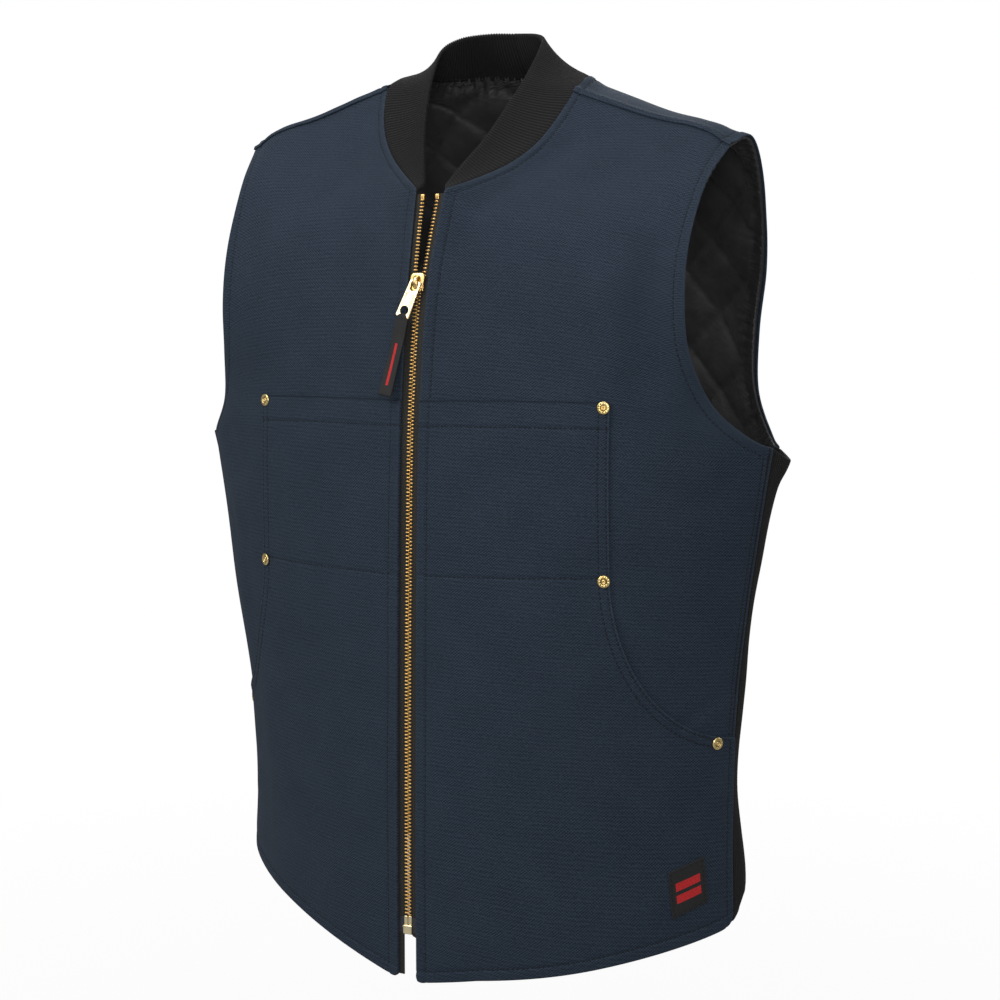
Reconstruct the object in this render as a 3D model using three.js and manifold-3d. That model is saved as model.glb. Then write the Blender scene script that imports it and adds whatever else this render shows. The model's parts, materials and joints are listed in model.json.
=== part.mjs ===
// Work vest: duck canvas shell, quilted lining, rib-knit collar and sides, brass zip, riveted patch pockets.
// Millimetres, +Z up. The wearer faces -Y and the wearer's left is +X.
// The origin lies on the mid plane, level with the neck ends of the front shoulder seams.
import * as THREE from "three";
import { mergeVertices } from "three/addons/utils/BufferGeometryUtils.js";
import Module from "manifold-3d";

const wasm = await Module();
wasm.setup();

// Driving dimensions
const gap = 0.3; // clearance between sewn layers
const clothThick = 1.4;
const pocketThick = 1.3;
const liningThick = 3;
const knitThick = 3.2;
const seamGap = 0.25; // each panel stops this far short of its seam line
const liningTrim = { front: 21, neck: 7, armhole: 6, hem: 22, shoulder: 3, side: 4 };

// Edge curves of the wearer's left half, each listed from the hem upwards
const frontEdge = [
  { at: "hem", x: 8.3, y: -141, z: -719, tapeBack: 0.7 },
  { at: "hip", x: 8.3, y: -141, z: -600, tapeBack: 0.7 },
  { at: "waist", x: 8.3, y: -138.5, z: -400, tapeBack: 0.7 },
  { at: "pocket top", x: 8.3, y: -133, z: -254, tapeBack: 1 },
  { at: "slider", x: 9, y: -121, z: -161, tapeBack: 2.5 },
  { at: "neck", x: 13, y: -101, z: -86, tapeBack: 3.2 },
];
const frontNeck = [
  { at: "zip", x: 13, y: -101, z: -86 },
  { at: "turn", x: 34, y: -83, z: -75 },
  { at: "low side", x: 53, y: -68, z: -63 },
  { at: "side", x: 69, y: -54, z: -47 },
  { at: "high side", x: 80, y: -40, z: -27 },
  { at: "shoulder", x: 88, y: -20, z: 0 },
];
const frontSide = [
  { at: "hem", x: 229, y: -15, z: -661 },
  { at: "hip", x: 227.6, y: -15, z: -584 },
  { at: "waist", x: 231, y: -16, z: -500 },
  { at: "ribs", x: 241, y: -18, z: -415 },
  { at: "chest", x: 254, y: -22, z: -338 },
  { at: "underarm", x: 264, y: -27, z: -289 },
];
const frontArmhole = [
  { at: "underarm", x: 264, y: -27, z: -289 },
  { at: "curve", x: 253, y: -40, z: -282.5 },
  { at: "low", x: 229, y: -62, z: -257 },
  { at: "fore", x: 216, y: -81, z: -216 },
  { at: "deepest", x: 213.5, y: -86, z: -175 },
  { at: "chest", x: 214, y: -78, z: -129 },
  { at: "upper", x: 220, y: -50, z: -79 },
  { at: "shoulder", x: 229, y: -20, z: -49 },
];
const backEdge = [
  { at: "hem", x: 0, y: 112, z: -700 },
  { at: "hip", x: 0, y: 108, z: -580 },
  { at: "waist", x: 0, y: 104, z: -480 },
  { at: "ribs", x: 0, y: 113, z: -370 },
  { at: "blades", x: 0, y: 124, z: -230 },
  { at: "yoke", x: 0, y: 116, z: -110 },
  { at: "nape", x: 0, y: 100, z: -40 },
  { at: "neck", x: 0, y: 74, z: 21 },
];
const backNeck = [
  { at: "nape", x: 0, y: 74, z: 21 },
  { at: "back", x: 43, y: 63, z: 19 },
  { at: "turn", x: 73, y: 38, z: 16 },
  { at: "ridge", x: 86, y: 4, z: 11 },
  { at: "shoulder", x: 88, y: -20, z: 0 },
];
const backSide = [
  { at: "hem", x: 206, y: 44, z: -663 },
  { at: "hip", x: 203, y: 44, z: -584 },
  { at: "waist", x: 206, y: 44, z: -500 },
  { at: "ribs", x: 215, y: 42, z: -415 },
  { at: "chest", x: 232, y: 39, z: -338 },
  { at: "underarm", x: 245, y: 36, z: -292 },
];
const backArmhole = [
  { at: "underarm", x: 245, y: 36, z: -292 },
  { at: "curve", x: 232, y: 55, z: -284 },
  { at: "low", x: 211, y: 77, z: -250 },
  { at: "deepest", x: 208, y: 85, z: -200 },
  { at: "blade", x: 216, y: 80, z: -146 },
  { at: "upper", x: 231, y: 48, z: -80 },
  { at: "ridge", x: 236, y: 4, z: -40 },
  { at: "shoulder", x: 229, y: -20, z: -49 },
];

// How each cross row leaves its inner edge and meets its outer one: turns in degrees from +X,
// reaches as shares of the row's straight length
const frontShape = [
  { at: "hem", startTurn: 3, startReach: 0.46, endTurn: 78, endReach: 0.12 },
  { at: "waist", startTurn: 3, startReach: 0.45, endTurn: 70, endReach: 0.25 },
  { at: "underarm", startTurn: 4, startReach: 0.44, endTurn: 60, endReach: 0.27 },
  { at: "neck", startTurn: 22, startReach: 0.25, endTurn: 14, endReach: 0.36 },
  { at: "shoulder", startTurn: 0, startReach: 0.33, endTurn: 0, endReach: 0.33 },
];
const backShape = [
  { at: "hem", startTurn: 0, startReach: 0.46, endTurn: -66, endReach: 0.24 },
  { at: "waist", startTurn: 0, startReach: 0.45, endTurn: -62, endReach: 0.23 },
  { at: "underarm", startTurn: 0, startReach: 0.44, endTurn: -58, endReach: 0.22 },
  { at: "neck", startTurn: 0, startReach: 0.33, endTurn: -14, endReach: 0.33 },
  { at: "shoulder", startTurn: 0, startReach: 0.33, endTurn: 0, endReach: 0.33 },
];

// The vest sits a little lower on the wearer's left: drop of the shoulder and of the hem,
// each growing from nothing at its first height to all of it at its second
const sitDrops = [
  { at: "shoulder", drop: 6, fromZ: -200, fullZ: -50 },
  { at: "hem", drop: 9, fromZ: -540, fullZ: -690 },
];
const sitHalfWidth = 150; // the drop is all there this far from the middle

// Where the underarm and the neck corner fall on the edge curves, as shares of their length
const frontUnderarmShare = 0.674;
const frontNeckShare = 0.66;
const backUnderarmShare = 0.56;
const backNeckShare = 0.74;
const bodyRows = 8;
const chestRows = 6;
const yokeRows = 4;
const columns = 10;

// The knit insert stands out between its two seams by this much
const knitBulge = [
  { at: "hem", out: 8 },
  { at: "band", out: 9 },
  { at: "hip", out: 4 },
  { at: "waist", out: 6 },
  { at: "ribs", out: 5 },
  { at: "chest", out: 6 },
  { at: "underarm", out: 11 },
];
const knitSeamGap = 0.75;
const knitTopDip = 9;
const knitColumns = 4;

// Collar: free edge of the wearer's left half, from the zip round to the nape
const collarFree = [
  { at: "zip", x: 9.5, y: -95, z: -82 },
  { at: "turn", x: 19, y: -80, z: -62 },
  { at: "low side", x: 28, y: -64, z: -43 },
  { at: "side", x: 36, y: -46, z: -19 },
  { at: "shoulder", x: 44, y: -20, z: 13 },
  { at: "ridge", x: 46, y: 0, z: 36 },
  { at: "back side", x: 39, y: 20, z: 48 },
  { at: "back", x: 22, y: 39, z: 54 },
  { at: "nape", x: 0, y: 46, z: 55 },
];
const collarThick = 3.6;
const collarBow = 3; // how far the band's middle hangs in from straight
const collarFullBand = 40; // narrower stretches of the band hang in less
const collarSeat = 2.4; // the band starts this far from the neckline edge
const collarColumns = 12; // along each half
const collarRows = 4; // from seam to free edge

// Zip
const tapeThick = 0.9;
const tapeUnder = 5; // the tape runs this far under the panel's edge
const tapeTail = 20; // and this far past the chain at each end
const tapeHead = 5;
const teethWidth = 3.7;
const teethThick = 3.4;
const zipFootZ = -666;
const zipHeadZ = -95;
const zipRows = 16;
const sliderZ = -161;
const sliderLength = 15;
const sliderWidth = 12.6;
const sliderPlate = 1.4;
const sliderPlay = 0.7; // between each plate and the chain
const sliderFootShare = 0.72; // the plate's lower and upper edges, as shares of its full width
const sliderHeadShare = 0.42;
const sliderShoulder = 3; // the full width lies this far above the middle
const throat = { width: 2.4, height: 3 };
const chainOpen = [
  { at: "foot", z: -700, half: 0.15 },
  { at: "below slider", z: -169, half: 0.15 },
  { at: "slider throat", z: -156, half: 2.1 },
  { at: "top", z: -86, half: 5.2 },
];
const boxSize = { width: 8, height: 7.5, depth: 5 };
const pinSize = { width: 3.4, height: 7, depth: 3 };
const pinRoot = 2; // how far the fixed pin runs into the box
const stopSize = { width: 3.6, height: 4.4, depth: 3.6 };

// Pull tab and ribbon, hung under the bail
const tabLength = 31;
const tabWidth = 10.4; // across its head
const tabFootWidth = 12.6;
const tabThick = 1.5;
const tabEye = { width: 6.6, height: 7.2, rim: 1.7 };
const tabHole = { radius: 3.7, rim: 2.2 };
const tabCorner = 1; // each corner is cut back by this much
const roundSides = 16; // sides of a small round piece or hole
const tabLean = 19; // degrees towards the wearer's right
const ribbonLength = 62;
const ribbonWidth = 11.6;
const ribbonThick = 2.2;
const ribbonLean = 8;
const loopCord = { thick: 0.7, knot: 2, width: 2.2 }; // holds the ribbon in the tab's hole
const bail = { width: 2, length: 10, rise: 4.4, wire: 1.5, root: 0.5 };
const pullLift = 1.35; // the tab's hinge line stands this far off the slider's face

// Pocket patch outline seen from the front
const pocketTopZ = -253;
const pocketOuterX = 160;
const pocketTurnZ = -394;
const pocketMouth = { sideX: 232, sideZ: -521, startLean: 2, startReach: 60, endReachX: 42, endReachZ: 9 };
const pocketInnerX = 9.2;
const pocketMargin = 120; // the outline runs this far past the panel's outer edges

// Rivets and label, placed on the front view
const rivet = { radius: 5, crown: 3.6, rise: 1.9, brim: 0.7, seat: 0.4 };
const rivetPlaces = [
  { at: "top", x: 155.3, z: -256.8 },
  { at: "mid", x: 155.6, z: -390.4 },
  { at: "low", x: 221, z: -523 },
];
const labelPlace = { x: 206, z: -630, size: 33, thick: 0.9, turn: 9 };

// Materials
const cloth = (color, roughness) => new THREE.MeshStandardMaterial({ color, roughness, metalness: 0 });
const brass = new THREE.MeshStandardMaterial({ color: 0xd8b765, roughness: 0.3, metalness: 1 });
const duck = cloth(0x2b3541, 0.9);
const quilt = cloth(0x17181a, 0.7);
const knit = cloth(0x222223, 0.95);
const tapeCloth = cloth(0x2a2926, 0.85);
const woven = cloth(0x1d1d1f, 0.8);

const lerp = THREE.MathUtils.lerp;
const turnOf = THREE.MathUtils.degToRad;
const vector = (p) => new THREE.Vector3(p.x, p.y, p.z);
const edgeCurve = (table) => new THREE.CatmullRomCurve3(table.map(vector), false, "centripetal");

// Catmull-Rom through evenly spaced values, with flat continuation at both ends
function smooth(values, place) {
  const last = values.length - 1;
  const i = Math.min(Math.floor(place), last - 1);
  const t = place - i;
  const [a, b] = [values[i], values[i + 1]];
  const before = i > 0 ? values[i - 1] : a;
  const after = i + 2 <= last ? values[i + 2] : b;
  const [slopeA, slopeB] = [(b - before) / 2, (after - a) / 2];
  const rise = b - a;
  return a + t * (slopeA + t * (3 * rise - 2 * slopeA - slopeB + t * (slopeA + slopeB - 2 * rise)));
}

// Value of a table's column at a height, straight between its rows
function atHeight(table, column, z) {
  const above = table.findIndex((row) => row.z >= z);
  if (above === 0) return table[0][column];
  if (above < 0) return table[table.length - 1][column];
  const [low, high] = [table[above - 1], table[above]];
  return lerp(low[column], high[column], (z - low.z) / (high.z - low.z));
}

// One cross row: a cubic from the inner edge to the outer edge
function crossRow(inner, outer, shape, place) {
  const pick = (column) => smooth(shape.map((row) => row[column]), place);
  const length = inner.distanceTo(outer);
  const drop = outer.z - inner.z;
  const [start, end] = [turnOf(pick("startTurn")), turnOf(pick("endTurn"))];
  const startReach = pick("startReach");
  const endReach = pick("endReach");
  const heading = (turn) => new THREE.Vector3(Math.cos(turn) * length, Math.sin(turn) * length, drop);
  const leave = inner.clone().addScaledVector(heading(start), startReach);
  const arrive = outer.clone().addScaledVector(heading(end), -endReach);
  const row = new THREE.CubicBezierCurve3(inner, leave, arrive, outer);
  return Array.from({ length: columns + 1 }, (_, i) => row.getPoint(i / columns));
}

// Rows of one half panel, hem to shoulder: below the arm, beside the armhole, beside the neck
function panelRows({ edge, neck, side, armhole, shape, underarmShare, neckShare }) {
  const [edgeLine, neckLine, sideLine, armLine] = [edge, neck, side, armhole].map(edgeCurve);
  const rows = [];
  const zone = (count, [from, to], inner, outer) => {
    for (let i = rows.length ? 1 : 0; i <= count; i++) {
      const t = i / count;
      rows.push(crossRow(inner(t), outer(t), shape, lerp(from, to, t)));
    }
  };
  zone(bodyRows, [0, 2], (t) => edgeLine.getPointAt(t * underarmShare), (t) => sideLine.getPointAt(t));
  zone(
    chestRows,
    [2, 3],
    (t) => edgeLine.getPointAt(lerp(underarmShare, 1, t)),
    (t) => armLine.getPointAt(t * neckShare),
  );
  zone(yokeRows, [3, 4], (t) => neckLine.getPointAt(t), (t) => armLine.getPointAt(lerp(neckShare, 1, t)));
  return rows;
}

// Unit normals of a grid of points, pointing away from the body
function gridNormals(rows) {
  return rows.map((row, j) =>
    row.map((_, i) => {
      const along = row[Math.min(i + 1, row.length - 1)].clone().sub(row[Math.max(i - 1, 0)]);
      const up = rows[Math.min(j + 1, rows.length - 1)][i].clone().sub(rows[Math.max(j - 1, 0)][i]);
      return along.cross(up).normalize();
    }),
  );
}

// Draws a grid's outer lines in by a length each, along the straight cells, so facets keep their planes
function trimmed(rows, { low = 0, high = 0, start = 0, end = 0 }) {
  const grid = rows.map((row) => row.map((p) => p.clone()));
  const draw = (p, towards, length) => p.addScaledVector(towards.clone().sub(p).normalize(), length);
  const lastRow = grid.length - 1;
  for (const row of grid) {
    const last = row.length - 1;
    draw(row[0], row[1], start);
    draw(row[last], row[last - 1], end);
  }
  grid[0].forEach((p, i) => draw(p, grid[1][i], low));
  grid[lastRow].forEach((p, i) => draw(p, grid[lastRow - 1][i], high));
  return grid;
}

// A closed wall between two offsets of one grid
function wall(rows, normals, outer, inner) {
  const across = rows[0].length;
  const skin = rows.length * across;
  const moved = (p, normal, offset) => p.clone().addScaledVector(normal, offset);
  const shifted = (offset) => rows.map((row, j) => row.map((p, i) => moved(p, normals[j][i], offset)));
  const points = [...shifted(outer).flat(), ...shifted(inner).flat()];
  const faces = [];
  const quad = (a, b, c, d) => faces.push(a, b, c, a, c, d);
  for (let j = 0; j + 1 < rows.length; j++) {
    for (let i = 0; i + 1 < across; i++) {
      const a = j * across + i;
      quad(a, a + 1, a + across + 1, a + across);
      quad(skin + a, skin + a + across, skin + a + across + 1, skin + a + 1);
    }
  }
  const rim = [];
  for (let i = 0; i < across - 1; i++) rim.push(i);
  for (let j = 0; j < rows.length - 1; j++) rim.push(j * across + across - 1);
  for (let i = across - 1; i > 0; i--) rim.push((rows.length - 1) * across + i);
  for (let j = rows.length - 1; j > 0; j--) rim.push(j * across);
  rim.forEach((a, k) => {
    const b = rim[(k + 1) % rim.length];
    quad(b, a, skin + a, skin + b);
  });
  return facing(new THREE.BufferGeometry().setFromPoints(points).setIndex(faces));
}

// Turns a closed geometry's faces outwards if they point in
function facing(geometry) {
  const position = geometry.getAttribute("position");
  const index = geometry.index.array;
  const corner = (k) => new THREE.Vector3().fromBufferAttribute(position, index[k]);
  let volume = 0;
  for (let k = 0; k < index.length; k += 3) volume += corner(k).dot(corner(k + 1).cross(corner(k + 2)));
  if (volume < 0) geometry.index.array.reverse();
  return geometry;
}

const mirrored = (geometry) => facing(geometry.clone().scale(-1, 1, 1));

// A copy with nothing but merged positions
function bare(geometry) {
  return mergeVertices(geometry.clone().deleteAttribute("normal").deleteAttribute("uv"), 1e-4);
}

function solidOf(geometry) {
  const merged = bare(geometry);
  return new wasm.Manifold(
    new wasm.Mesh({
      numProp: 3,
      vertProperties: merged.getAttribute("position").array,
      triVerts: new Uint32Array(merged.index.array),
    }),
  );
}

function geometryOf(solid) {
  const mesh = solid.getMesh();
  return new THREE.BufferGeometry()
    .setAttribute("position", new THREE.BufferAttribute(mesh.vertProperties, mesh.numProp))
    .setIndex(new THREE.BufferAttribute(mesh.triVerts, 1));
}

function joined(geometries) {
  return geometryOf(geometries.map(solidOf).reduce((whole, piece) => whole.add(piece)));
}

function plate(shape, thick) {
  return new THREE.ExtrudeGeometry(shape, { depth: thick, bevelEnabled: false, curveSegments: 10 });
}

// Lowers a cloth piece on the wearer's left and lifts it on the right
function settled(geometry) {
  const position = geometry.getAttribute("position");
  for (let k = 0; k < position.count; k++) {
    const [x, z] = [position.getX(k), position.getZ(k)];
    const drop = sitDrops.reduce((sum, sit) => {
      const share = THREE.MathUtils.smoothstep((z - sit.fromZ) / (sit.fullZ - sit.fromZ), 0, 1);
      return sum + sit.drop * share;
    }, 0);
    const side = THREE.MathUtils.clamp(x / sitHalfWidth, -1, 1);
    position.setZ(k, z - drop * Math.sin((side * Math.PI) / 2));
  }
  return geometry;
}

const vest = new THREE.Group();
function place(name, geometry, material, parent = vest) {
  const mesh = new THREE.Mesh(geometry, material);
  mesh.name = name;
  parent.add(mesh);
  return mesh;
}

// A left piece and its mirror image
function placePair(name, geometry, material, finish = (piece) => piece) {
  place(name + "_left", finish(geometry.clone()), material);
  place(name + "_right", finish(mirrored(geometry)), material);
}

// Front panels, their lining and the pocket patches
const frontRows = panelRows({
  edge: frontEdge,
  neck: frontNeck,
  side: frontSide,
  armhole: frontArmhole,
  shape: frontShape,
  underarmShare: frontUnderarmShare,
  neckShare: frontNeckShare,
});
const backHalf = panelRows({
  edge: backEdge,
  neck: backNeck,
  side: backSide,
  armhole: backArmhole,
  shape: backShape,
  underarmShare: backUnderarmShare,
  neckShare: backNeckShare,
});
const neckRow = bodyRows + chestRows;
const frontNormals = gridNormals(frontRows);
const backNormals = gridNormals(backHalf).map((row) => row.map((n) => n.negate()));
backNormals.slice(0, neckRow + 1).forEach((row) => row[0].setX(0).normalize());

// Along the shoulder seam both panels share one direction, so that their edges meet squarely
frontNormals.at(-1).forEach((n, i) => {
  n.add(backNormals.at(-1)[i]).normalize();
  backNormals.at(-1)[i].copy(n);
});
const frontCut = trimmed(frontRows, { high: seamGap, end: seamGap });
placePair("front_panel", wall(frontCut, frontNormals, 0, -clothThick), duck, settled);

// Trims the lining row by row, because each edge of a panel has its own allowance
function liningRows(rows, startTrims, endTrims) {
  const drawn = trimmed(rows, { low: liningTrim.hem, high: liningTrim.shoulder });
  return drawn.map((row, j) => trimmed([row, row], { start: startTrims(j), end: endTrims(j) })[0]);
}
const liningOuter = -clothThick - gap;
const armOrSide = (j) => (j >= bodyRows ? liningTrim.armhole : liningTrim.side);
const zipOrNeck = (j) => (j >= neckRow ? liningTrim.neck : liningTrim.front);
const frontLining = liningRows(frontRows, zipOrNeck, armOrSide);
const frontQuilt = wall(frontLining, frontNormals, liningOuter, liningOuter - liningThick);
placePair("lining_front", frontQuilt, quilt, settled);

function pocketOutline() {
  const mouth = pocketMouth;
  const past = { x: mouth.sideX + pocketMargin, z: frontEdge[0].z - pocketMargin };
  const shape = new THREE.Shape();
  shape.moveTo(pocketInnerX, past.z);
  shape.lineTo(pocketInnerX, pocketTopZ);
  shape.lineTo(pocketOuterX, pocketTopZ);
  shape.lineTo(pocketOuterX, pocketTurnZ);
  shape.bezierCurveTo(
    pocketOuterX + mouth.startLean,
    pocketTurnZ - mouth.startReach,
    mouth.sideX - mouth.endReachX,
    mouth.sideZ + mouth.endReachZ,
    mouth.sideX,
    mouth.sideZ,
  );
  shape.lineTo(past.x, mouth.sideZ);
  shape.lineTo(past.x, past.z);
  shape.closePath();
  return shape;
}
const pocketDepth = 300; // deep enough to cut through the whole front
const pocketBlock = plate(pocketOutline(), pocketDepth)
  .rotateX(Math.PI / 2)
  .translate(0, pocketDepth / 2, 0);
const pocketSkin = wall(frontCut, frontNormals, gap + pocketThick, gap);
placePair("pocket", geometryOf(solidOf(pocketSkin).intersect(solidOf(pocketBlock))), duck, settled);

// Back panel and its lining: a left half joined to its mirror image along the middle
const mirrorPoint = (p) => new THREE.Vector3(-p.x, p.y, p.z);
function backWall(outer, inner, rows) {
  const half = wall(rows, backNormals, outer, inner);
  return settled(joined([half, mirrored(half)]));
}
const backCut = trimmed(backHalf, { high: seamGap, end: seamGap });
place("back_panel", backWall(0, -clothThick, backCut), duck);
const napeDown = new THREE.Vector3(0, 0.3, -1); // the way the back panel falls below the nape
const backLining = liningRows(backHalf, (j) => (j > neckRow ? liningTrim.neck : 0), armOrSide);
backLining[neckRow][0].addScaledVector(napeDown, liningTrim.neck);
place("lining_back", backWall(liningOuter, liningOuter - liningThick, backLining), quilt);

// Side knits: rows between the front and back side seams, bowed outwards
function knitRowsAt() {
  const [front, back] = [frontSide, backSide].map(edgeCurve);
  return Array.from({ length: bodyRows + 1 }, (_, j) => {
    const t = j / bodyRows;
    const [a, b] = [front.getPointAt(t), back.getPointAt(t)];
    const out = smooth(knitBulge.map((row) => row.out), t * (knitBulge.length - 1));
    const away = new THREE.Vector3(b.y - a.y, a.x - b.x, 0).normalize();
    return Array.from({ length: knitColumns + 1 }, (_, i) => {
      const s = i / knitColumns;
      const bow = 4 * s * (1 - s);
      const dip = j === bodyRows ? knitTopDip * bow : 0;
      return a.clone().lerp(b, s).addScaledVector(away, out * bow).setZ(lerp(a.z, b.z, s) - dip);
    });
  });
}
const sideRows = trimmed(knitRowsAt(), { start: knitSeamGap, end: knitSeamGap });
placePair("side_knit", wall(sideRows, gridNormals(sideRows), 0, -knitThick), knit, settled);

// Collar: a band from the neckline to its free edge, tapering to the zip, one piece round the neck
function collarHalf() {
  const necks = [...frontNeck, ...backNeck.slice(0, -1).reverse()];
  const [seam, free] = [necks, collarFree].map(edgeCurve);
  return Array.from({ length: collarColumns + 1 }, (_, i) => {
    const t = i / collarColumns;
    const base = seam.getPointAt(t);
    const top = free.getPointAt(t);
    const band = top.clone().sub(base);
    const inwards = new THREE.Vector3().crossVectors(band, seam.getTangentAt(t)).normalize();
    const seat = base.clone().addScaledVector(band.clone().normalize(), collarSeat);
    return Array.from({ length: collarRows + 1 }, (_, j) => {
      const s = j / collarRows;
      const bow = 4 * s * (1 - s) * Math.min(1, band.length() / collarFullBand);
      return seat.clone().lerp(top, s).addScaledVector(inwards, collarBow * bow);
    });
  });
}
const collarGrid = collarHalf();
const rightCollar = collarGrid.slice(0, -1).map((row) => row.map(mirrorPoint));
const wholeCollar = [...rightCollar, ...collarGrid.slice().reverse()];
place("collar", settled(wall(wholeCollar, gridNormals(wholeCollar), 0, -collarThick)), knit);

// Zip: tape and chain follow the front edges, opening into a V above the slider
const zipLine = edgeCurve(frontEdge);
const zipY = (z) => atHeight(zipLine.getSpacedPoints(200), "y", z);
const chainHalf = (z) => atHeight(chainOpen, "half", z);
const zipSlope = (z, step) => Math.atan2(zipY(z + step) - zipY(z - step), 2 * step);

// A strip along the zip from listed places across it, each an x and a distance behind the panels' face
function zipStrip(across, thick, lowZ, highZ) {
  const rows = Array.from({ length: zipRows + 1 }, (_, j) => {
    const z = lerp(lowZ, highZ, j / zipRows);
    return across(z).map(({ x, back }) => new THREE.Vector3(x, zipY(z) + back, z));
  });
  const normals = rows.map((row) => row.map(() => new THREE.Vector3(0, -1, 0)));
  return wall(rows, normals, 0, -thick);
}
const tapeDepth = clothThick + 2 * gap;
const teethDepth = tapeDepth + tapeThick / 2 - teethThick / 2;
const tapeAcross = (z) => {
  const edgeX = atHeight(frontEdge, "x", z);
  return [
    { x: chainHalf(z) + teethWidth + gap, back: tapeDepth },
    { x: edgeX - gap, back: tapeDepth },
    { x: edgeX + tapeUnder, back: tapeDepth + atHeight(frontEdge, "tapeBack", z) },
  ];
};
const teethAcross = (z) => [0, teethWidth].map((x) => ({ x: chainHalf(z) + x, back: teethDepth }));
placePair("zip_tape", zipStrip(tapeAcross, tapeThick, zipFootZ - tapeTail, zipHeadZ + tapeHead), tapeCloth);
placePair("zip_teeth", zipStrip(teethAcross, teethThick, zipFootZ, zipHeadZ), brass);

// Stops, retainer box and pin sit at the ends of the chain
const chainY = (z) => zipY(z) + tapeDepth + tapeThick / 2;
function blockAt(size, x, z) {
  return new THREE.BoxGeometry(size.width, size.depth, size.height).translate(x, chainY(z), z);
}
const stopZ = zipHeadZ + gap + stopSize.height / 2;
placePair("zip_top_stop", blockAt(stopSize, chainHalf(stopZ) + stopSize.width / 2, stopZ), brass);
const pinZ = zipFootZ - gap - pinSize.height / 2;
const pinX = pinSize.width / 2 + chainHalf(pinZ);
const boxZ = zipFootZ - 2 * gap - pinSize.height - boxSize.height / 2;
place("zip_pin", blockAt(pinSize, pinX, pinZ), brass);
const boxGeometry = joined([
  blockAt(boxSize, 0, boxZ),
  blockAt({ ...pinSize, height: pinSize.height + pinRoot }, -pinX, pinZ - pinRoot / 2),
]);
place("zip_box", boxGeometry, brass);

// Slider: two plates round the chain joined by a wedge in its throat, with a bail over the front plate
const zipFrame = new THREE.Group();
zipFrame.position.set(0, chainY(sliderZ), sliderZ);
zipFrame.rotation.x = -zipSlope(sliderZ, sliderLength / 4);
vest.add(zipFrame);
const plateGap = teethThick / 2 + sliderPlay;

function sliderPlateShape() {
  const half = sliderWidth / 2;
  const [foot, head] = [half * sliderFootShare, half * sliderHeadShare];
  const [low, high] = [-sliderLength / 2, sliderLength / 2];
  const shape = new THREE.Shape();
  shape.moveTo(-foot, low);
  shape.lineTo(foot, low);
  shape.lineTo(half, sliderShoulder);
  shape.quadraticCurveTo(half, high, head, high);
  shape.lineTo(-head, high);
  shape.quadraticCurveTo(-half, high, -half, sliderShoulder);
  shape.closePath();
  return shape;
}

function bailShape() {
  const half = bail.length / 2;
  const [innerHalf, innerRise] = [half - bail.wire, bail.rise - bail.wire];
  const shape = new THREE.Shape();
  shape.moveTo(-half, -bail.root);
  shape.quadraticCurveTo(-half, bail.rise, 0, bail.rise);
  shape.quadraticCurveTo(half, bail.rise, half, -bail.root);
  shape.lineTo(innerHalf, -bail.root);
  shape.quadraticCurveTo(innerHalf, innerRise, 0, innerRise);
  shape.quadraticCurveTo(-innerHalf, innerRise, -innerHalf, -bail.root);
  shape.closePath();
  return shape;
}
const uprightPlate = () => plate(sliderPlateShape(), sliderPlate).rotateX(Math.PI / 2);
const throatWedge = new THREE.BoxGeometry(throat.width, 2 * plateGap + sliderPlate, throat.height);
const sliderFace = plateGap + sliderPlate;
const [axisX, axisY, axisZ] = [0, 1, 2].map((k) => new THREE.Vector3().setComponent(k, 1));
const bailArch = plate(bailShape(), bail.width)
  .translate(0, 0, -bail.width / 2)
  .applyMatrix4(new THREE.Matrix4().makeBasis(axisZ, axisY.clone().negate(), axisX));
const sliderSolid = joined([
  uprightPlate().translate(0, -plateGap, 0),
  uprightPlate().translate(0, plateGap + sliderPlate, 0),
  throatWedge.translate(0, 0, sliderLength / 2 - throat.height / 2),
  bailArch.translate(0, -sliderFace, 0),
]);
place("zip_slider", sliderSolid, brass, zipFrame);

// Pull tab: its top bar lies under the bail, the tab hangs down and leans to the wearer's right
const pullFrame = new THREE.Group();
pullFrame.position.set(0, -sliderFace - pullLift, 0);
pullFrame.rotation.y = turnOf(tabLean);
zipFrame.add(pullFrame);

function circlePoints(radius, middleY, count) {
  return Array.from({ length: count }, (_, i) => {
    const turn = (2 * Math.PI * i) / count;
    return new THREE.Vector2(radius * Math.cos(turn), middleY + radius * Math.sin(turn));
  });
}

function tabShape() {
  const half = tabWidth / 2;
  const top = tabEye.rim / 2;
  const eyeHalf = tabEye.width / 2;
  const bottom = top - tabLength;
  const holeY = bottom + tabHole.rim + tabHole.radius;
  const shape = new THREE.Shape();
  const foot = tabFootWidth / 2;
  shape.moveTo(-half + tabCorner, top);
  shape.lineTo(half - tabCorner, top);
  shape.lineTo(half, top - tabCorner);
  shape.lineTo(foot, bottom + tabCorner);
  shape.lineTo(foot - tabCorner, bottom);
  shape.lineTo(-foot + tabCorner, bottom);
  shape.lineTo(-foot, bottom + tabCorner);
  shape.lineTo(-half, top - tabCorner);
  shape.closePath();
  const [eyeTop, eyeFoot] = [-top, -top - tabEye.height];
  const eye = new THREE.Path();
  eye.moveTo(-eyeHalf, eyeTop);
  eye.lineTo(-eyeHalf, eyeFoot);
  eye.lineTo(eyeHalf, eyeFoot);
  eye.lineTo(eyeHalf, eyeTop);
  eye.closePath();
  const hole = new THREE.Path(circlePoints(tabHole.radius, holeY, roundSides));
  shape.holes.push(eye, hole);
  return shape;
}
const tabGeometry = plate(tabShape(), tabThick)
  .translate(0, 0, -tabThick / 2)
  .rotateX(Math.PI / 2);
place("pull_tab", tabGeometry, brass, pullFrame);

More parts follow.
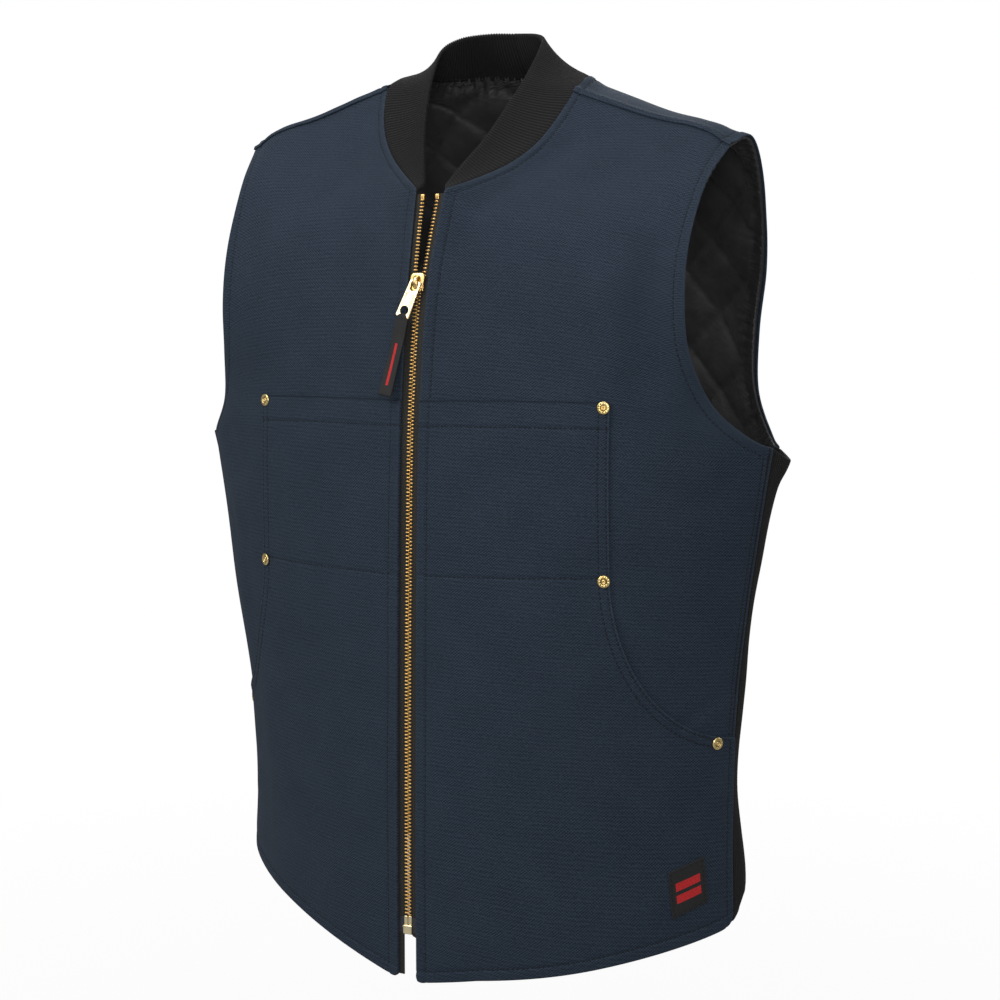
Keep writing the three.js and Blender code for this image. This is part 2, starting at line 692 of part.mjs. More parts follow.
// Ribbon: a loop through the tab's hole that carries a flat strap
function ribbonLoop() {
  const inner = { y: tabThick / 2 + gap, low: -tabHole.rim - 2 * gap, high: 4 * gap };
  const outer = {
    y: inner.y + loopCord.thick,
    low: inner.low - loopCord.knot,
    high: inner.high + loopCord.thick,
  };
  const ring = (size, path) => {
    path.moveTo(-size.y, size.low);
    path.lineTo(size.y, size.low);
    path.lineTo(size.y, size.high);
    path.lineTo(-size.y, size.high);
    path.closePath();
    return path;
  };
  const shape = ring(outer, new THREE.Shape());
  shape.holes.push(ring(inner, new THREE.Path()));
  const geometry = plate(shape, loopCord.width)
    .translate(0, 0, -loopCord.width / 2)
    .applyMatrix4(new THREE.Matrix4().makeBasis(axisY, axisZ, axisX));
  return { low: outer.low, geometry };
}
const ribbonFrame = new THREE.Group();
ribbonFrame.position.set(0, 0, tabEye.rim / 2 - tabLength + tabHole.rim);
ribbonFrame.rotation.y = turnOf(ribbonLean - tabLean);
pullFrame.add(ribbonFrame);
const loop = ribbonLoop();
const strapTop = loop.low + loopCord.knot / 2;
const strap = new THREE.BoxGeometry(ribbonWidth, ribbonThick, ribbonLength);
strap.translate(0, 0, strapTop - ribbonLength / 2);
place("pull_ribbon", joined([loop.geometry, strap]), woven, ribbonFrame);

// Point and outward direction of the front surface where it is seen at a place of the front view
function onFront(x, z) {
  let best = { miss: Infinity };
  for (let j = 0; j + 1 < frontRows.length; j++) {
    for (let i = 0; i + 1 < frontRows[j].length; i++) {
      const cell = [frontRows[j][i], frontRows[j][i + 1], frontRows[j + 1][i], frontRows[j + 1][i + 1]];
      const middle = cell.reduce((sum, p) => sum.add(p), new THREE.Vector3()).multiplyScalar(0.25);
      const miss = Math.hypot(middle.x - x, middle.z - z);
      if (miss < best.miss) {
        const direction = cell[1].clone().sub(cell[0]).cross(cell[2].clone().sub(cell[0])).normalize();
        best = { miss, middle, direction };
      }
    }
  }
  const { middle, direction } = best;
  const y = middle.y - (direction.x * (x - middle.x) + direction.z * (z - middle.z)) / direction.y;
  return { point: new THREE.Vector3(x, y, z), direction };
}

function standOn(geometry, spot, height) {
  const across = new THREE.Vector3().crossVectors(axisZ, spot.direction).normalize();
  const upright = new THREE.Matrix4().makeBasis(across, spot.direction.clone().cross(across), spot.direction);
  const seat = spot.point.clone().addScaledVector(spot.direction, height);
  return geometry.applyMatrix4(upright).translate(seat.x, seat.y, seat.z);
}

// Cap rivets: a rolled brim and a low dome
const rivetProfile = [
  [0, 0],
  [rivet.radius, 0],
  [rivet.radius, rivet.brim],
  [rivet.crown, rivet.rise],
  [0, rivet.rise],
].map(([x, y]) => new THREE.Vector2(x, y));
const pocketFace = 2 * gap + pocketThick;
for (const spot of rivetPlaces) {
  const cap = bare(new THREE.LatheGeometry(rivetProfile, roundSides).rotateX(Math.PI / 2));
  const seated = standOn(cap, onFront(spot.x, spot.z), pocketFace + rivet.seat);
  placePair("rivet_" + spot.at, facing(seated), brass);
}

// Woven label near the wearer's left hem
const labelSpot = onFront(labelPlace.x, labelPlace.z);
const label = new THREE.BoxGeometry(labelPlace.size, labelPlace.size, labelPlace.thick);
label.rotateZ(turnOf(labelPlace.turn));
place("label_patch", settled(standOn(label, labelSpot, pocketFace + labelPlace.thick)), woven);

export default vest;
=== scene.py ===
import json
import math
import bmesh
import bpy
import numpy as np
from mathutils import Matrix, Vector


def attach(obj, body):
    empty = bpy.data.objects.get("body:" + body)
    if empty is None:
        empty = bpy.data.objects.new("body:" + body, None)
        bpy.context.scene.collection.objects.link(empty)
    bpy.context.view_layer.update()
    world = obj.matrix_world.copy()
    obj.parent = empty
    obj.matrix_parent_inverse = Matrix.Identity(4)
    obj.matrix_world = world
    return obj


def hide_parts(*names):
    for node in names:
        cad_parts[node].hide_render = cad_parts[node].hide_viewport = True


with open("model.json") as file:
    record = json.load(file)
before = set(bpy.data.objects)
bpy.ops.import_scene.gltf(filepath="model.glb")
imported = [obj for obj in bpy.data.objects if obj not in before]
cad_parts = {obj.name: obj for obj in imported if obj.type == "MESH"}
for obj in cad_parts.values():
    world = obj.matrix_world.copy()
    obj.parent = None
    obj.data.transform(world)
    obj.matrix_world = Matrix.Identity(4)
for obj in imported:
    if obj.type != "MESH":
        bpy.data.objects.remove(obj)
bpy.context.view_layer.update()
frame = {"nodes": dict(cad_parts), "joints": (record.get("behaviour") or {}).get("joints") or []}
mm = 0.001  # the lines below are in millimetres, meshes in metres
print("frame loaded:", len(frame["nodes"]), "nodes")

# Layers of the garment, as thick as in the frame
layers = {"gap": 0.3, "cloth": 1.4, "pocket": 1.3, "lining": 3.0, "knit": 3.2, "collar": 3.6, "tape": 0.9}

# Seam and edge lines of the wearer's left half, hem upwards
seamLines = {
    "frontEdge": [(8.3, -141, -719), (8.3, -141, -600), (8.3, -138.5, -400), (8.3, -133, -254),
                  (9, -121, -161), (13, -101, -86)],
    "frontNeck": [(13, -101, -86), (34, -83, -75), (53, -68, -63), (69, -54, -47), (80, -40, -27),
                  (88, -20, 0)],
    "frontSide": [(229, -15, -661), (227.6, -15, -584), (231, -16, -500), (241, -18, -415),
                  (254, -22, -338), (264, -27, -289)],
    "frontArm": [(264, -27, -289), (253, -40, -282.5), (229, -62, -257), (216, -81, -216),
                 (213.5, -86, -175), (214, -78, -129), (220, -50, -79), (229, -20, -49)],
    "backEdge": [(0, 112, -700), (0, 108, -580), (0, 104, -480), (0, 113, -370), (0, 124, -230),
                 (0, 116, -110), (0, 100, -40), (0, 74, 21)],
    "backNeck": [(0, 74, 21), (43, 63, 19), (73, 38, 16), (86, 4, 11), (88, -20, 0)],
    "backSide": [(206, 44, -663), (203, 44, -584), (206, 44, -500), (215, 42, -415), (232, 39, -338),
                 (245, 36, -292)],
    "backArm": [(245, 36, -292), (232, 55, -284), (211, 77, -250), (208, 85, -200), (216, 80, -146),
                (231, 48, -80), (236, 4, -40), (229, -20, -49)],
    "collarFree": [(9.5, -95, -82), (19, -80, -62), (28, -64, -43), (36, -46, -19), (44, -20, 13),
                   (46, 0, 35), (39, 20, 46), (22, 39, 51.5), (0, 46, 52.5)],
}

# How a cross row leaves its inner edge and meets its outer one, from hem to shoulder
rowShapes = {
    "front": {"startTurn": (3, 3, 4, 22, 0), "startReach": (0.46, 0.45, 0.44, 0.25, 0.33),
              "endTurn": (78, 70, 60, 14, 0), "endReach": (0.12, 0.25, 0.27, 0.36, 0.33)},
    "back": {"startTurn": (0, 0, 0, 0, 0), "startReach": (0.46, 0.45, 0.44, 0.33, 0.33),
             "endTurn": (-66, -62, -58, -14, 0), "endReach": (0.24, 0.23, 0.22, 0.33, 0.33)},
}
zoneShares = {"front": (0.674, 0.66), "back": (0.56, 0.74)}  # underarm on the edge, neck on the armhole

# The vest sits a little lower on the wearer's left
sitting = {"halfWidth": 150, "drops": ((6, -200, -50), (9, -540, -690))}


def unit(v):
    return v / np.maximum(np.linalg.norm(v, axis=-1, keepdims=True), 1e-12)


def ease(t):
    t = np.clip(t, 0, 1)
    return t * t * (3 - 2 * t)


def bell(away, width):
    return np.exp(-(away / width) ** 2)


def smoothValues(values, place):
    # Catmull-Rom through evenly spaced values
    values = np.asarray(values, float)
    last = len(values) - 1
    i = np.minimum(np.floor(place).astype(int), last - 1)
    t = place - i
    a, b = values[i], values[i + 1]
    slopeA = (b - values[np.maximum(i - 1, 0)]) / 2
    slopeB = (values[np.minimum(i + 2, last)] - a) / 2
    rise = b - a
    return a + t * (slopeA + t * (3 * rise - 2 * slopeA - slopeB + t * (slopeA + slopeB - 2 * rise)))


def edgeLine(points, steps=60):
    # centripetal Catmull-Rom, as a dense polyline
    p = np.array(points, float)
    p = np.vstack([2 * p[0] - p[1], p, 2 * p[-1] - p[-2]])
    w = np.linspace(0, 1, steps, endpoint=False)[:, None]
    parts = []
    for a, b, c, d in zip(p, p[1:], p[2:], p[3:]):
        ta, tb, tc = (np.linalg.norm(e - s) ** 0.5 for s, e in ((a, b), (b, c), (c, d)))
        m1 = ((b - a) / ta - (c - a) / (ta + tb) + (c - b) / tb) * tb
        m2 = ((c - b) / tb - (d - b) / (tb + tc) + (d - c) / tc) * tb
        parts.append(b + w * (m1 + w * (3 * (c - b) - 2 * m1 - m2 + w * (m1 + m2 - 2 * (c - b)))))
    return np.vstack(parts + [p[-2:-1]])


def runOf(line):
    return np.concatenate([[0], np.cumsum(np.linalg.norm(np.diff(line, axis=0), axis=1))])


def pointsAt(line, share):
    run = runOf(line)
    want = np.asarray(share) * run[-1]
    return np.stack([np.interp(want, run, line[:, k]) for k in range(line.shape[1])], -1)


lines = {name: edgeLine(points) for name, points in seamLines.items()}
lines["shoulder"] = np.linspace(seamLines["frontNeck"][-1], seamLines["frontArm"][-1], 60)


def toLine(points, line):
    # shortest distance of each point to a polyline
    flat = points.reshape(-1, 3)
    best = np.full(len(flat), 1e9)
    for a, b in zip(line[:-1:2], np.vstack([line[2::2], line[-1:]])[: len(line[:-1:2])]):
        d = b - a
        t = np.clip(((flat - a) @ d) / max(d @ d, 1e-9), 0, 1)
        best = np.minimum(best, np.linalg.norm(flat - a - t[:, None] * d, axis=1))
    return best.reshape(points.shape[:-1])


def gridNormals(points):
    across = np.gradient(points, axis=1)
    up = np.gradient(points, axis=0)
    return unit(np.cross(across, up))


def settled(points):
    # lowers cloth on the wearer's left and lifts it on the right
    out = points.copy()
    side = np.sin(np.clip(points[..., 0] / sitting["halfWidth"], -1, 1) * math.pi / 2)
    for drop, fromZ, fullZ in sitting["drops"]:
        out[..., 2] -= drop * ease((points[..., 2] - fromZ) / (fullZ - fromZ)) * side
    return out + leaning(out)


# How this vest hangs apart from its pattern: hem, sides and shoulders
hanging = {"hemDrop": 6.5, "sideOut": (5.0, -415, 60), "sideIn": (4.5, -575, 70), "shoulderRise": 5.0,
           "tipIn": 5.5}


def leaning(points):
    x, y, z = points[..., 0], points[..., 1], points[..., 2]
    wide, hang = np.abs(x), hanging
    shift = np.zeros(points.shape)
    hem = np.sin(math.pi * np.clip((x - 60) / 250, 0, 1)) * ease((-560 - z) / 150) * ease((10 - y) / 40)
    shoulder = bell(wide - 196, 28) * ease((z + 125) / 60)
    shift[..., 2] = hang["shoulderRise"] * shoulder - hang["hemDrop"] * hem
    outer, inner = (by * bell(z - at, reach) for by, at, reach in (hang["sideOut"], hang["sideIn"]))
    shift[..., 0] = (inner - outer) * ease((wide - 120) / 100) * (x < 0)
    shift[..., 0] -= hang["tipIn"] * np.sign(x) * ease((wide - 203) / 26) * ease((z + 165) / 80)
    return shift


def mirrored(points):
    return points * np.array([-1, 1, 1])


# Base surfaces: a dense grid of each half panel, every row evenly spaced along its length
baseGrid = {"rows": (220, 130, 70), "columns": 121, "blend": 420}


def halfPanel(which):
    edge, neck, side, arm = (lines[which + part] for part in ("Edge", "Neck", "Side", "Arm"))
    underarm, neckAt = zoneShares[which]
    shape = rowShapes[which]
    body, chest = baseGrid["rows"][:2]
    t = [np.linspace(0, 1, n + 1)[1 if k else 0:] for k, n in enumerate(baseGrid["rows"])]
    place = np.concatenate([2 * t[0], 2 + t[1], 3 + t[2]])
    inner = np.vstack([pointsAt(edge, t[0] * underarm), pointsAt(edge, underarm + t[1] * (1 - underarm)),
                       pointsAt(neck, t[2])])
    outer = np.vstack([pointsAt(side, t[0]), pointsAt(arm, t[1] * neckAt),
                       pointsAt(arm, neckAt + t[2] * (1 - neckAt))])
    length = np.linalg.norm(outer - inner, axis=1)
    turned = lambda key: np.radians(smoothValues(shape[key], place))
    rise = (outer - inner)[:, 2]
    heading = lambda turn: np.stack([np.cos(turn) * length, np.sin(turn) * length, rise], -1)
    leave = inner + heading(turned("startTurn")) * smoothValues(shape["startReach"], place)[:, None]
    arrive = outer - heading(turned("endTurn")) * smoothValues(shape["endReach"], place)[:, None]
    s = np.linspace(0, 1, 200)[None, :, None]
    a, b, c, d = (p[:, None, :] for p in (inner, leave, arrive, outer))
    curve = (1 - s) ** 3 * a + 3 * s * (1 - s) ** 2 * b + 3 * s * s * (1 - s) * c + s ** 3 * d
    even = np.linspace(0, 1, baseGrid["columns"])
    rows = np.stack([pointsAt(row, even) for row in curve])
    between = np.clip(np.sin(math.pi * even) * 2.5, 0, 1)[None, :, None]
    weight = 0.5 * between
    if which == "back":  # the middle of the back is no edge
        weight = 0.5 * np.clip(np.cos(math.pi / 2 * even) * 2.5, 0, 1)[None, :, None]
        weight = np.repeat(weight, len(rows), 0)
        weight[body + chest - 25:] *= between
        weight = weight[1:-1]
    for _ in range(baseGrid["blend"]):  # irons out the creases where the zones meet
        rows[1:-1] += weight * ((rows[:-2] + rows[2:]) / 2 - rows[1:-1])
    normals = gridNormals(rows)
    if which == "back":
        normals = -normals
        normals[: body + chest + 1, 0, 0] = 0
        normals = unit(normals)
    return {"points": rows, "normals": normals, "edgeX": rows[:, 0, 0]}


bases = {which: halfPanel(which) for which in ("front", "back")}
hemRound = {"slope": 0.16, "reach": 40, "fade": 130}  # rounds the middle of the back hem
across = np.abs(bases["back"]["points"][..., 0])
above = bases["back"]["points"][..., 2] - bases["back"]["points"][:1, :, 2]
bases["back"]["points"][..., 2] += (hemRound["slope"] * (np.hypot(across, hemRound["reach"]) - across)
                                    * (1 - ease(above / hemRound["fade"])))
for base in bases.values():
    climb = np.linalg.norm(np.diff(base["points"], axis=0), axis=-1)
    base["climb"] = np.vstack([0 * climb[:1], np.cumsum(climb, 0)]) + base["points"][:1, :, 2]
# both meet squarely on the shoulder
shared = unit(bases["front"]["normals"][-1] + bases["back"]["normals"][-1])
for base in bases.values():
    fade = ease((np.arange(len(base["normals"])) - len(base["normals"]) + 12) / 11)[:, None, None]
    base["normals"] = unit(base["normals"] * (1 - fade) + shared * fade)
neckRow = baseGrid["rows"][0] + baseGrid["rows"][1]
bodyRow = baseGrid["rows"][0]


def sample(grid, row, column):
    # bilinear value of a base grid at fractional rows and columns
    r = np.clip(row, 0, grid.shape[0] - 1.0001)
    c = np.clip(column, 0, grid.shape[1] - 1.0001)
    i, j = r.astype(int), c.astype(int)
    f, g = (r - i)[..., None], (c - j)[..., None]
    return ((1 - f) * ((1 - g) * grid[i, j] + g * grid[i, j + 1])
            + f * ((1 - g) * grid[i + 1, j] + g * grid[i + 1, j + 1]))


def onBase(base, row, share):
    column = share * (baseGrid["columns"] - 1)
    return sample(base["points"], row, column), unit(sample(base["normals"], row, column))


def findOnFront(x, z):
    # fractional row and share of the front surface at a place of the front view
    points = bases["front"]["points"]
    miss = (points[..., 0] - x) ** 2 + (points[..., 2] - z) ** 2
    i, j = np.unravel_index(np.argmin(miss), miss.shape)
    row, column = float(i), float(j)
    for _ in range(12):
        at = lambda r, c: sample(points, np.array(r), np.array(c))[[0, 2]]
        here = at(row, column)
        jac = np.stack([at(row + 0.5, column) - here, at(row, column + 0.5) - here], 1) / 0.5
        step = np.linalg.lstsq(jac, np.array([x, z]) - here, rcond=None)[0]
        row = float(np.clip(row + step[0], 0, len(points) - 1.6))
        column = float(np.clip(column + step[1], 0, baseGrid["columns"] - 1.6))
    return row, column / (baseGrid["columns"] - 1)


def roundedCorner(points, a, b, radius, turn):
    # draws the square corner between two edges, a and b away, in to a round one
    u, v = (np.clip((radius - np.minimum(d, radius)) / radius, 0, 1) for d in (a, b))
    across, up = (unit(np.gradient(points, axis=k)) for k in (1, 0))
    inU, inV = u * (1 - np.sqrt(1 - v * v / 2)), v * (1 - np.sqrt(1 - u * u / 2))
    return radius * (turn * across * inU[..., None] + up * inV[..., None])


cornerRounds = {"front": 6.0, "side": 11.0}


def hemCorners(points, d):
    return (roundedCorner(points, d["front"], d["hem"], cornerRounds["front"], 1)
            + roundedCorner(points, d["side"], d["hem"], cornerRounds["side"], -1))


def lifted(points, normals, by):
    return points + normals * by[..., None]


print("base surfaces ready")


# Mesh making
def skinMesh(name, skins):
    # welds skins of (points, grain, turned, painted light and dark hollows) into one closed mesh
    verts, faces, grains, paintedLightAndDarkHollowsLists, start = [], [], [], [], 0
    for points, grain, turned, *paintedLightAndDarkHollows in skins:
        rows, columns = points.shape[:2]
        k = start + np.arange(rows * columns).reshape(rows, columns)
        quads = np.stack([k[:-1, :-1], k[:-1, 1:], k[1:, 1:], k[1:, :-1]], -1).reshape(-1, 4)
        faces.append(quads[:, ::-1] if turned else quads)
        verts.append(points.reshape(-1, 3))
        grains.append(grain.reshape(-1, 2))
        paintedLightAndDarkHollowsLists.append(paintedLightAndDarkHollows[0].ravel() if paintedLightAndDarkHollows else np.zeros(rows * columns))
        start += rows * columns
    faces = np.vstack(faces)
    mesh = bpy.data.meshes.new(name)
    mesh.from_pydata((np.vstack(verts) * mm).tolist(), [], faces.tolist())
    layer = mesh.uv_layers.new(name="grain")
    layer.data.foreach_set("uv", (np.vstack(grains) * mm)[faces.ravel()].ravel())
    mesh.attributes.new("paintedLightAndDarkHollows", "FLOAT", "POINT").data.foreach_set("value", np.concatenate(paintedLightAndDarkHollowsLists))
    return finishedMesh(mesh)


def finishedMesh(mesh, merge=2e-6):
    bm = bmesh.new()
    bm.from_mesh(mesh)
    bmesh.ops.remove_doubles(bm, verts=bm.verts, dist=merge)
    bmesh.ops.dissolve_degenerate(bm, edges=bm.edges, dist=1e-7)
    loose = [v for v in bm.verts if not v.link_faces]
    bmesh.ops.delete(bm, geom=loose, context="VERTS")
    if bm.calc_volume(signed=True) < 0:
        bmesh.ops.reverse_faces(bm, faces=bm.faces)
    bm.to_mesh(mesh)
    bm.free()
    mesh.shade_smooth()
    return mesh


def addPiece(name, mesh, material, nodes=(), body="vest"):
    piece = bpy.data.objects.new(name, mesh)
    bpy.context.scene.collection.objects.link(piece)
    mesh.materials.clear()
    mesh.materials.append(material)
    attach(piece, body)
    if nodes:
        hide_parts(*nodes)
    return piece


# Cloth panels: fine lines along every edge, wider cells inside
panelGrid = {
    "pocketFrom": -262, "sideFrom": -535,
    "edgeSteps": np.array([0, 0.15, 0.4, 0.8, 1.3, 2.2, 3.4, 4.6, 5.4, 6, 6.6, 7.4, 8.2, 8.8, 9.4, 10.2,
                           11.6, 14, 17]),
    "pitch": 4.0, "edgeRound": 1.1,
}
stitchLine = {"groove": 0.5, "grooveWidth": 1.0, "band": 0.32, "pucker": 0.16, "puckerPitch": 7.5,
              "puckerReach": 5}
# from each edge to its topstitch
seamSteps = {"front": 9.0, "neck": 6.0, "arm": 8.8, "side": 7.4, "hem": 9.2, "shoulder": 6.0}


def finePlaces(lengths, count):
    steps = panelGrid["edgeSteps"]
    l = np.asarray(lengths, float)[:, None]
    inside = np.linspace(0, 1, count + 2)[1:-1]
    start = np.broadcast_to(steps, (len(l), len(steps)))
    return np.hstack([start, steps[-1] + inside * (l - 2 * steps[-1]), l - steps[::-1]])


def rowLengths(base, rowAt):
    full = np.linalg.norm(np.diff(base["points"], axis=1), axis=-1).sum(1)
    return np.interp(rowAt, np.arange(len(full)), full)


def fineRows(base):
    steps = panelGrid["edgeSteps"]
    last = len(base["points"]) - 1
    up = np.linalg.norm(np.diff(base["points"][:, 60], axis=0), axis=-1)
    low, high = steps / up[0], last - steps[::-1] / up[-1]
    count = int((high[0] - low[-1]) * up.mean() / panelGrid["pitch"])
    return np.concatenate([low, np.linspace(low[-1], high[0], count + 2)[1:-1], high])


def ripple(points, pitch):
    x, y, z = points[..., 0], points[..., 1], points[..., 2]
    phase = 2 * math.pi / pitch * (z + 0.7 * x + 0.5 * y) + 2.1 * np.sin(z / 19 + x / 31)
    return np.sin(phase) * (0.6 + 0.4 * np.sin(z / 37 - x / 23))


def sewn(points, distance, step, reach=None):
    # topstitch groove, the raised band beside it and the light puckers round it
    s = stitchLine
    off = distance - step
    groove = -s["groove"] * bell(off, s["grooveWidth"])
    band = s["band"] * (1 - ease((off + 2.2) / 2.2))
    pucker = s["pucker"] * ripple(points, s["puckerPitch"]) * bell(off, s["puckerReach"])
    relief = groove + band + pucker
    return relief if reach is None else relief * reach


def folded(points, folds):
    # soft ridges and dents between two places of the front view
    x, z = np.abs(points[..., 0]), points[..., 2]
    relief = np.zeros(x.shape)
    for x0, z0, x1, z1, width, depth in folds:
        dx, dz = x1 - x0, z1 - z0
        t = np.clip(((x - x0) * dx + (z - z0) * dz) / (dx * dx + dz * dz), 0, 1)
        away = np.hypot(x - x0 - t * dx, z - z0 - t * dz)
        bend = 0.35 * width * np.sin(3 * t + z0)
        relief += depth * bell(away + bend * 0.3, width)
    return relief


def slack(points, seed):
    # the slow swell of stiff cloth
    x, z = points[..., 0], points[..., 2]
    return (0.55 * np.sin(x / 41 + z / 97 + seed) * np.sin(z / 63 - seed)
            + 0.35 * np.sin(x / 23 - z / 57 + 2 * seed) + 0.2 * np.sin(x / 13 + z / 29 + 3 * seed))


def edgeFall(distance, radius):
    # from 1 on an edge to 0 a radius inside it, as a quarter round
    near = 1 - np.clip(distance / radius, 0, 1)
    return 1 - np.sqrt(np.maximum(1 - near * near, 0))


def paintedEdgeHighlight(points, edge):
    # painted highlight: lighter on the folded edge, where its rounding catches the light, in patches
    return (0.55 + 0.35 * ripple(points, 13)) * bell(edge, 1.5)


# Front panels, each with its own soft folds (x0, z0, x1, z1, width, depth)
frontFolds = {
    "left": [(42, -98, 92, -52, 11, -1.6), (186, -228, 192, -132, 18, -3.2),
             (160, -235, 166, -120, 17, 1.2), (203, -506, 231, -478, 4, -1.0),
             (206, -514, 233, -488, 4, 0.7), (60, -150, 150, -110, 22, 0.9),
             (225, -330, 250, -300, 10, -1.2), (30, -190, 34, -120, 12, -0.8)],
    "right": [(200, -330, 205, -600, 9, 0.9), (183, -420, 180, -640, 12, -0.9),
              (216, -290, 196, -318, 12, -2.4), (214, -338, 196, -354, 11, 1.1),
              (206, -380, 186, -400, 12, -1.8), (190, -225, 197, -110, 17, -1.5),
              (40, -110, 90, -60, 13, -0.9), (60, -170, 150, -120, 24, -0.8),
              (30, -200, 33, -130, 12, 0.7)],
}


def frontDistances(points):
    names = {"front": "frontEdge", "neck": "frontNeck", "side": "frontSide", "arm": "frontArm",
             "shoulder": "shoulder"}
    found = {name: toLine(points, lines[line]) for name, line in names.items()}
    found["hem"] = toLine(points, bases["front"]["points"][0])
    return found


def frontSurface(rowAt, share):
    points, normals = onBase(bases["front"], rowAt, share)
    return points, normals, frontDistances(points)


def frontRelief(points, d, side):
    # the same swell and folds carry the panel, its pocket and what sits on them
    names = ("side", "arm", "neck", "shoulder", "front", "hem")
    calm = ease(np.minimum.reduce([d[name] for name in names]) / 14)
    swell = slack(points, 1.0 if side == "left" else 2.3) + folded(points, frontFolds[side])
    return swell * (0.25 + 0.75 * calm)


def placeSide(points, side):
    return settled(points if side == "left" else mirrored(points))


def grainOf(base, rowAt, share):
    lengths = rowLengths(base, rowAt)
    edgeX = np.interp(rowAt, np.arange(len(base["edgeX"])), base["edgeX"])
    climb = sample(base["climb"][..., None], rowAt, share * (baseGrid["columns"] - 1))[..., 0]
    return np.stack([edgeX + share * lengths, climb], -1)


def frontPanelSkins(side):
    base = bases["front"]
    rows = fineRows(base)
    lengths = rowLengths(base, rows)
    count = int((lengths.mean() - 2 * panelGrid["edgeSteps"][-1]) / panelGrid["pitch"])
    share = finePlaces(lengths, count) / lengths[:, None]
    rowAt = np.broadcast_to(rows[:, None], share.shape)
    points, normals, d = frontSurface(rowAt, share)
    edge = np.minimum.reduce(list(d.values()))
    grain = grainOf(base, rowAt, share)
    relief = frontRelief(points, d, side)
    # below here the pocket carries the stitches
    upper = ease((points[..., 2] - panelGrid["pocketFrom"]) / 8)
    seams = sum(sewn(points, d[name], seamSteps[name]) for name in ("neck", "arm"))
    seams += sewn(points, d["front"], seamSteps["front"], upper)
    seams += sewn(points, d["side"], seamSteps["side"], ease((points[..., 2] - panelGrid["sideFrom"]) / 10))
    fall = edgeFall(edge, panelGrid["edgeRound"]) * layers["cloth"] / 2
    # under the pocket's turned edges
    tuck = 0.9 * (1 - upper) * edgeFall(np.minimum(d["front"], d["hem"]), 3)
    corners = hemCorners(points, d)
    outside = lifted(points, normals, relief + seams - fall - tuck) + corners
    under = np.clip(seams, -0.2, 0)
    inside = lifted(points, normals, relief + under - layers["cloth"] + fall - tuck) + corners
    inside = np.where((edge < 1e-6)[..., None], outside, inside)
    # the panel carries a painted highlight on its folded edges
    return {"outside": outside, "inside": inside, "grain": grain, "normals": normals, "d": d,
            "points": points, "paintedLightAndDarkHollows": paintedEdgeHighlight(points, edge)}


panels = {side: frontPanelSkins(side) for side in ("left", "right")}
print("front panels shaped")


def borderMask(shape, openRows=None):
    mask = np.zeros(shape, bool)
    mask[[0, -1]] = True
    mask[:, -1] = True
    mask[:, 0] |= True if openRows is None else openRows
    return mask


def closeBorder(grid, border):
    grid["inside"] = np.where(border[..., None], grid["outside"], grid["inside"])
    return grid


def contour(grid, distance, step, axis=1, fromEnd=False, keep=None):
    # walks every row or column inwards from one end to where it lies a step from the edge
    take = (lambda a: np.swapaxes(a, 0, 1)) if axis == 0 else (lambda a: a)
    turn = (lambda a: a[:, ::-1]) if fromEnd else (lambda a: a)
    p, n, d = (turn(take(a)) for a in (grid["outside"], grid["normals"], distance))
    k = turn(take(keep)) if keep is not None else np.ones(d.shape, bool)
    crossing = (d[:, :-1] < step) & (d[:, 1:] >= step)
    rows = np.nonzero(crossing.any(1))[0]
    i = np.argmax(crossing[rows], 1)
    rows, i = rows[k[rows, i]], i[k[rows, i]]
    t = ((step - d[rows, i]) / (d[rows, i + 1] - d[rows, i]))[:, None]
    return p[rows, i] * (1 - t) + p[rows, i + 1] * t, n[rows, i]


stitchPaths = []  # (points, directions) in place


def addStitch(path, side="left"):
    points, normals = path
    if len(points) > 3:
        stitchPaths.append((placeSide(points, side), normals if side == "left" else mirrored(normals)))


# Pocket patches: CF edge to the side seam, hem to the chest, with a curved hand opening
pocketCut = {
    "handLow": -515, "handHigh": 110, "gapeReach": 22, "crossEnd": 166,
    "topZ": -253, "outerX": 160, "turnZ": -394, "sideX": 232, "sideZ": -521, "startLean": 2,
    "startReach": 60, "endReachX": 42, "endReachZ": 9, "topHem": 20.5, "crossZ": -391,
    "stitches": (2.4, 8.6), "gape": 1.4,
}


def pocketRightEdge():
    # rows and shares of the outer edge: up the side seam, round the hand opening, up the chest pocket
    c = pocketCut
    base = bases["front"]["points"]
    sideRow = np.interp(c["sideZ"], base[:bodyRow, -1, 2], np.arange(bodyRow))
    p = np.array([(c["sideX"], c["sideZ"]), (c["sideX"] - c["endReachX"], c["sideZ"] + c["endReachZ"]),
                  (c["outerX"] + c["startLean"], c["turnZ"] - c["startReach"]),
                  (c["outerX"], c["turnZ"])], float)
    s = np.linspace(0, 1, 48)[:, None]
    mouth = (1 - s) ** 3 * p[0] + 3 * s * (1 - s) ** 2 * p[1] + 3 * s * s * (1 - s) * p[2] + s ** 3 * p[3]
    seamX = np.interp(c["sideZ"], base[:bodyRow, -1, 2], base[:bodyRow, -1, 0])
    mouth = mouth[mouth[:, 0] < seamX - 0.6]
    chest = np.stack([np.full(30, c["outerX"]), np.linspace(c["turnZ"], c["topZ"], 31)[1:]], -1)
    found = np.array([findOnFront(x, z) for x, z in np.vstack([mouth, chest])])
    seam = np.stack([np.linspace(0, sideRow, 40), np.ones(40)], -1)
    return np.vstack([seam, found])


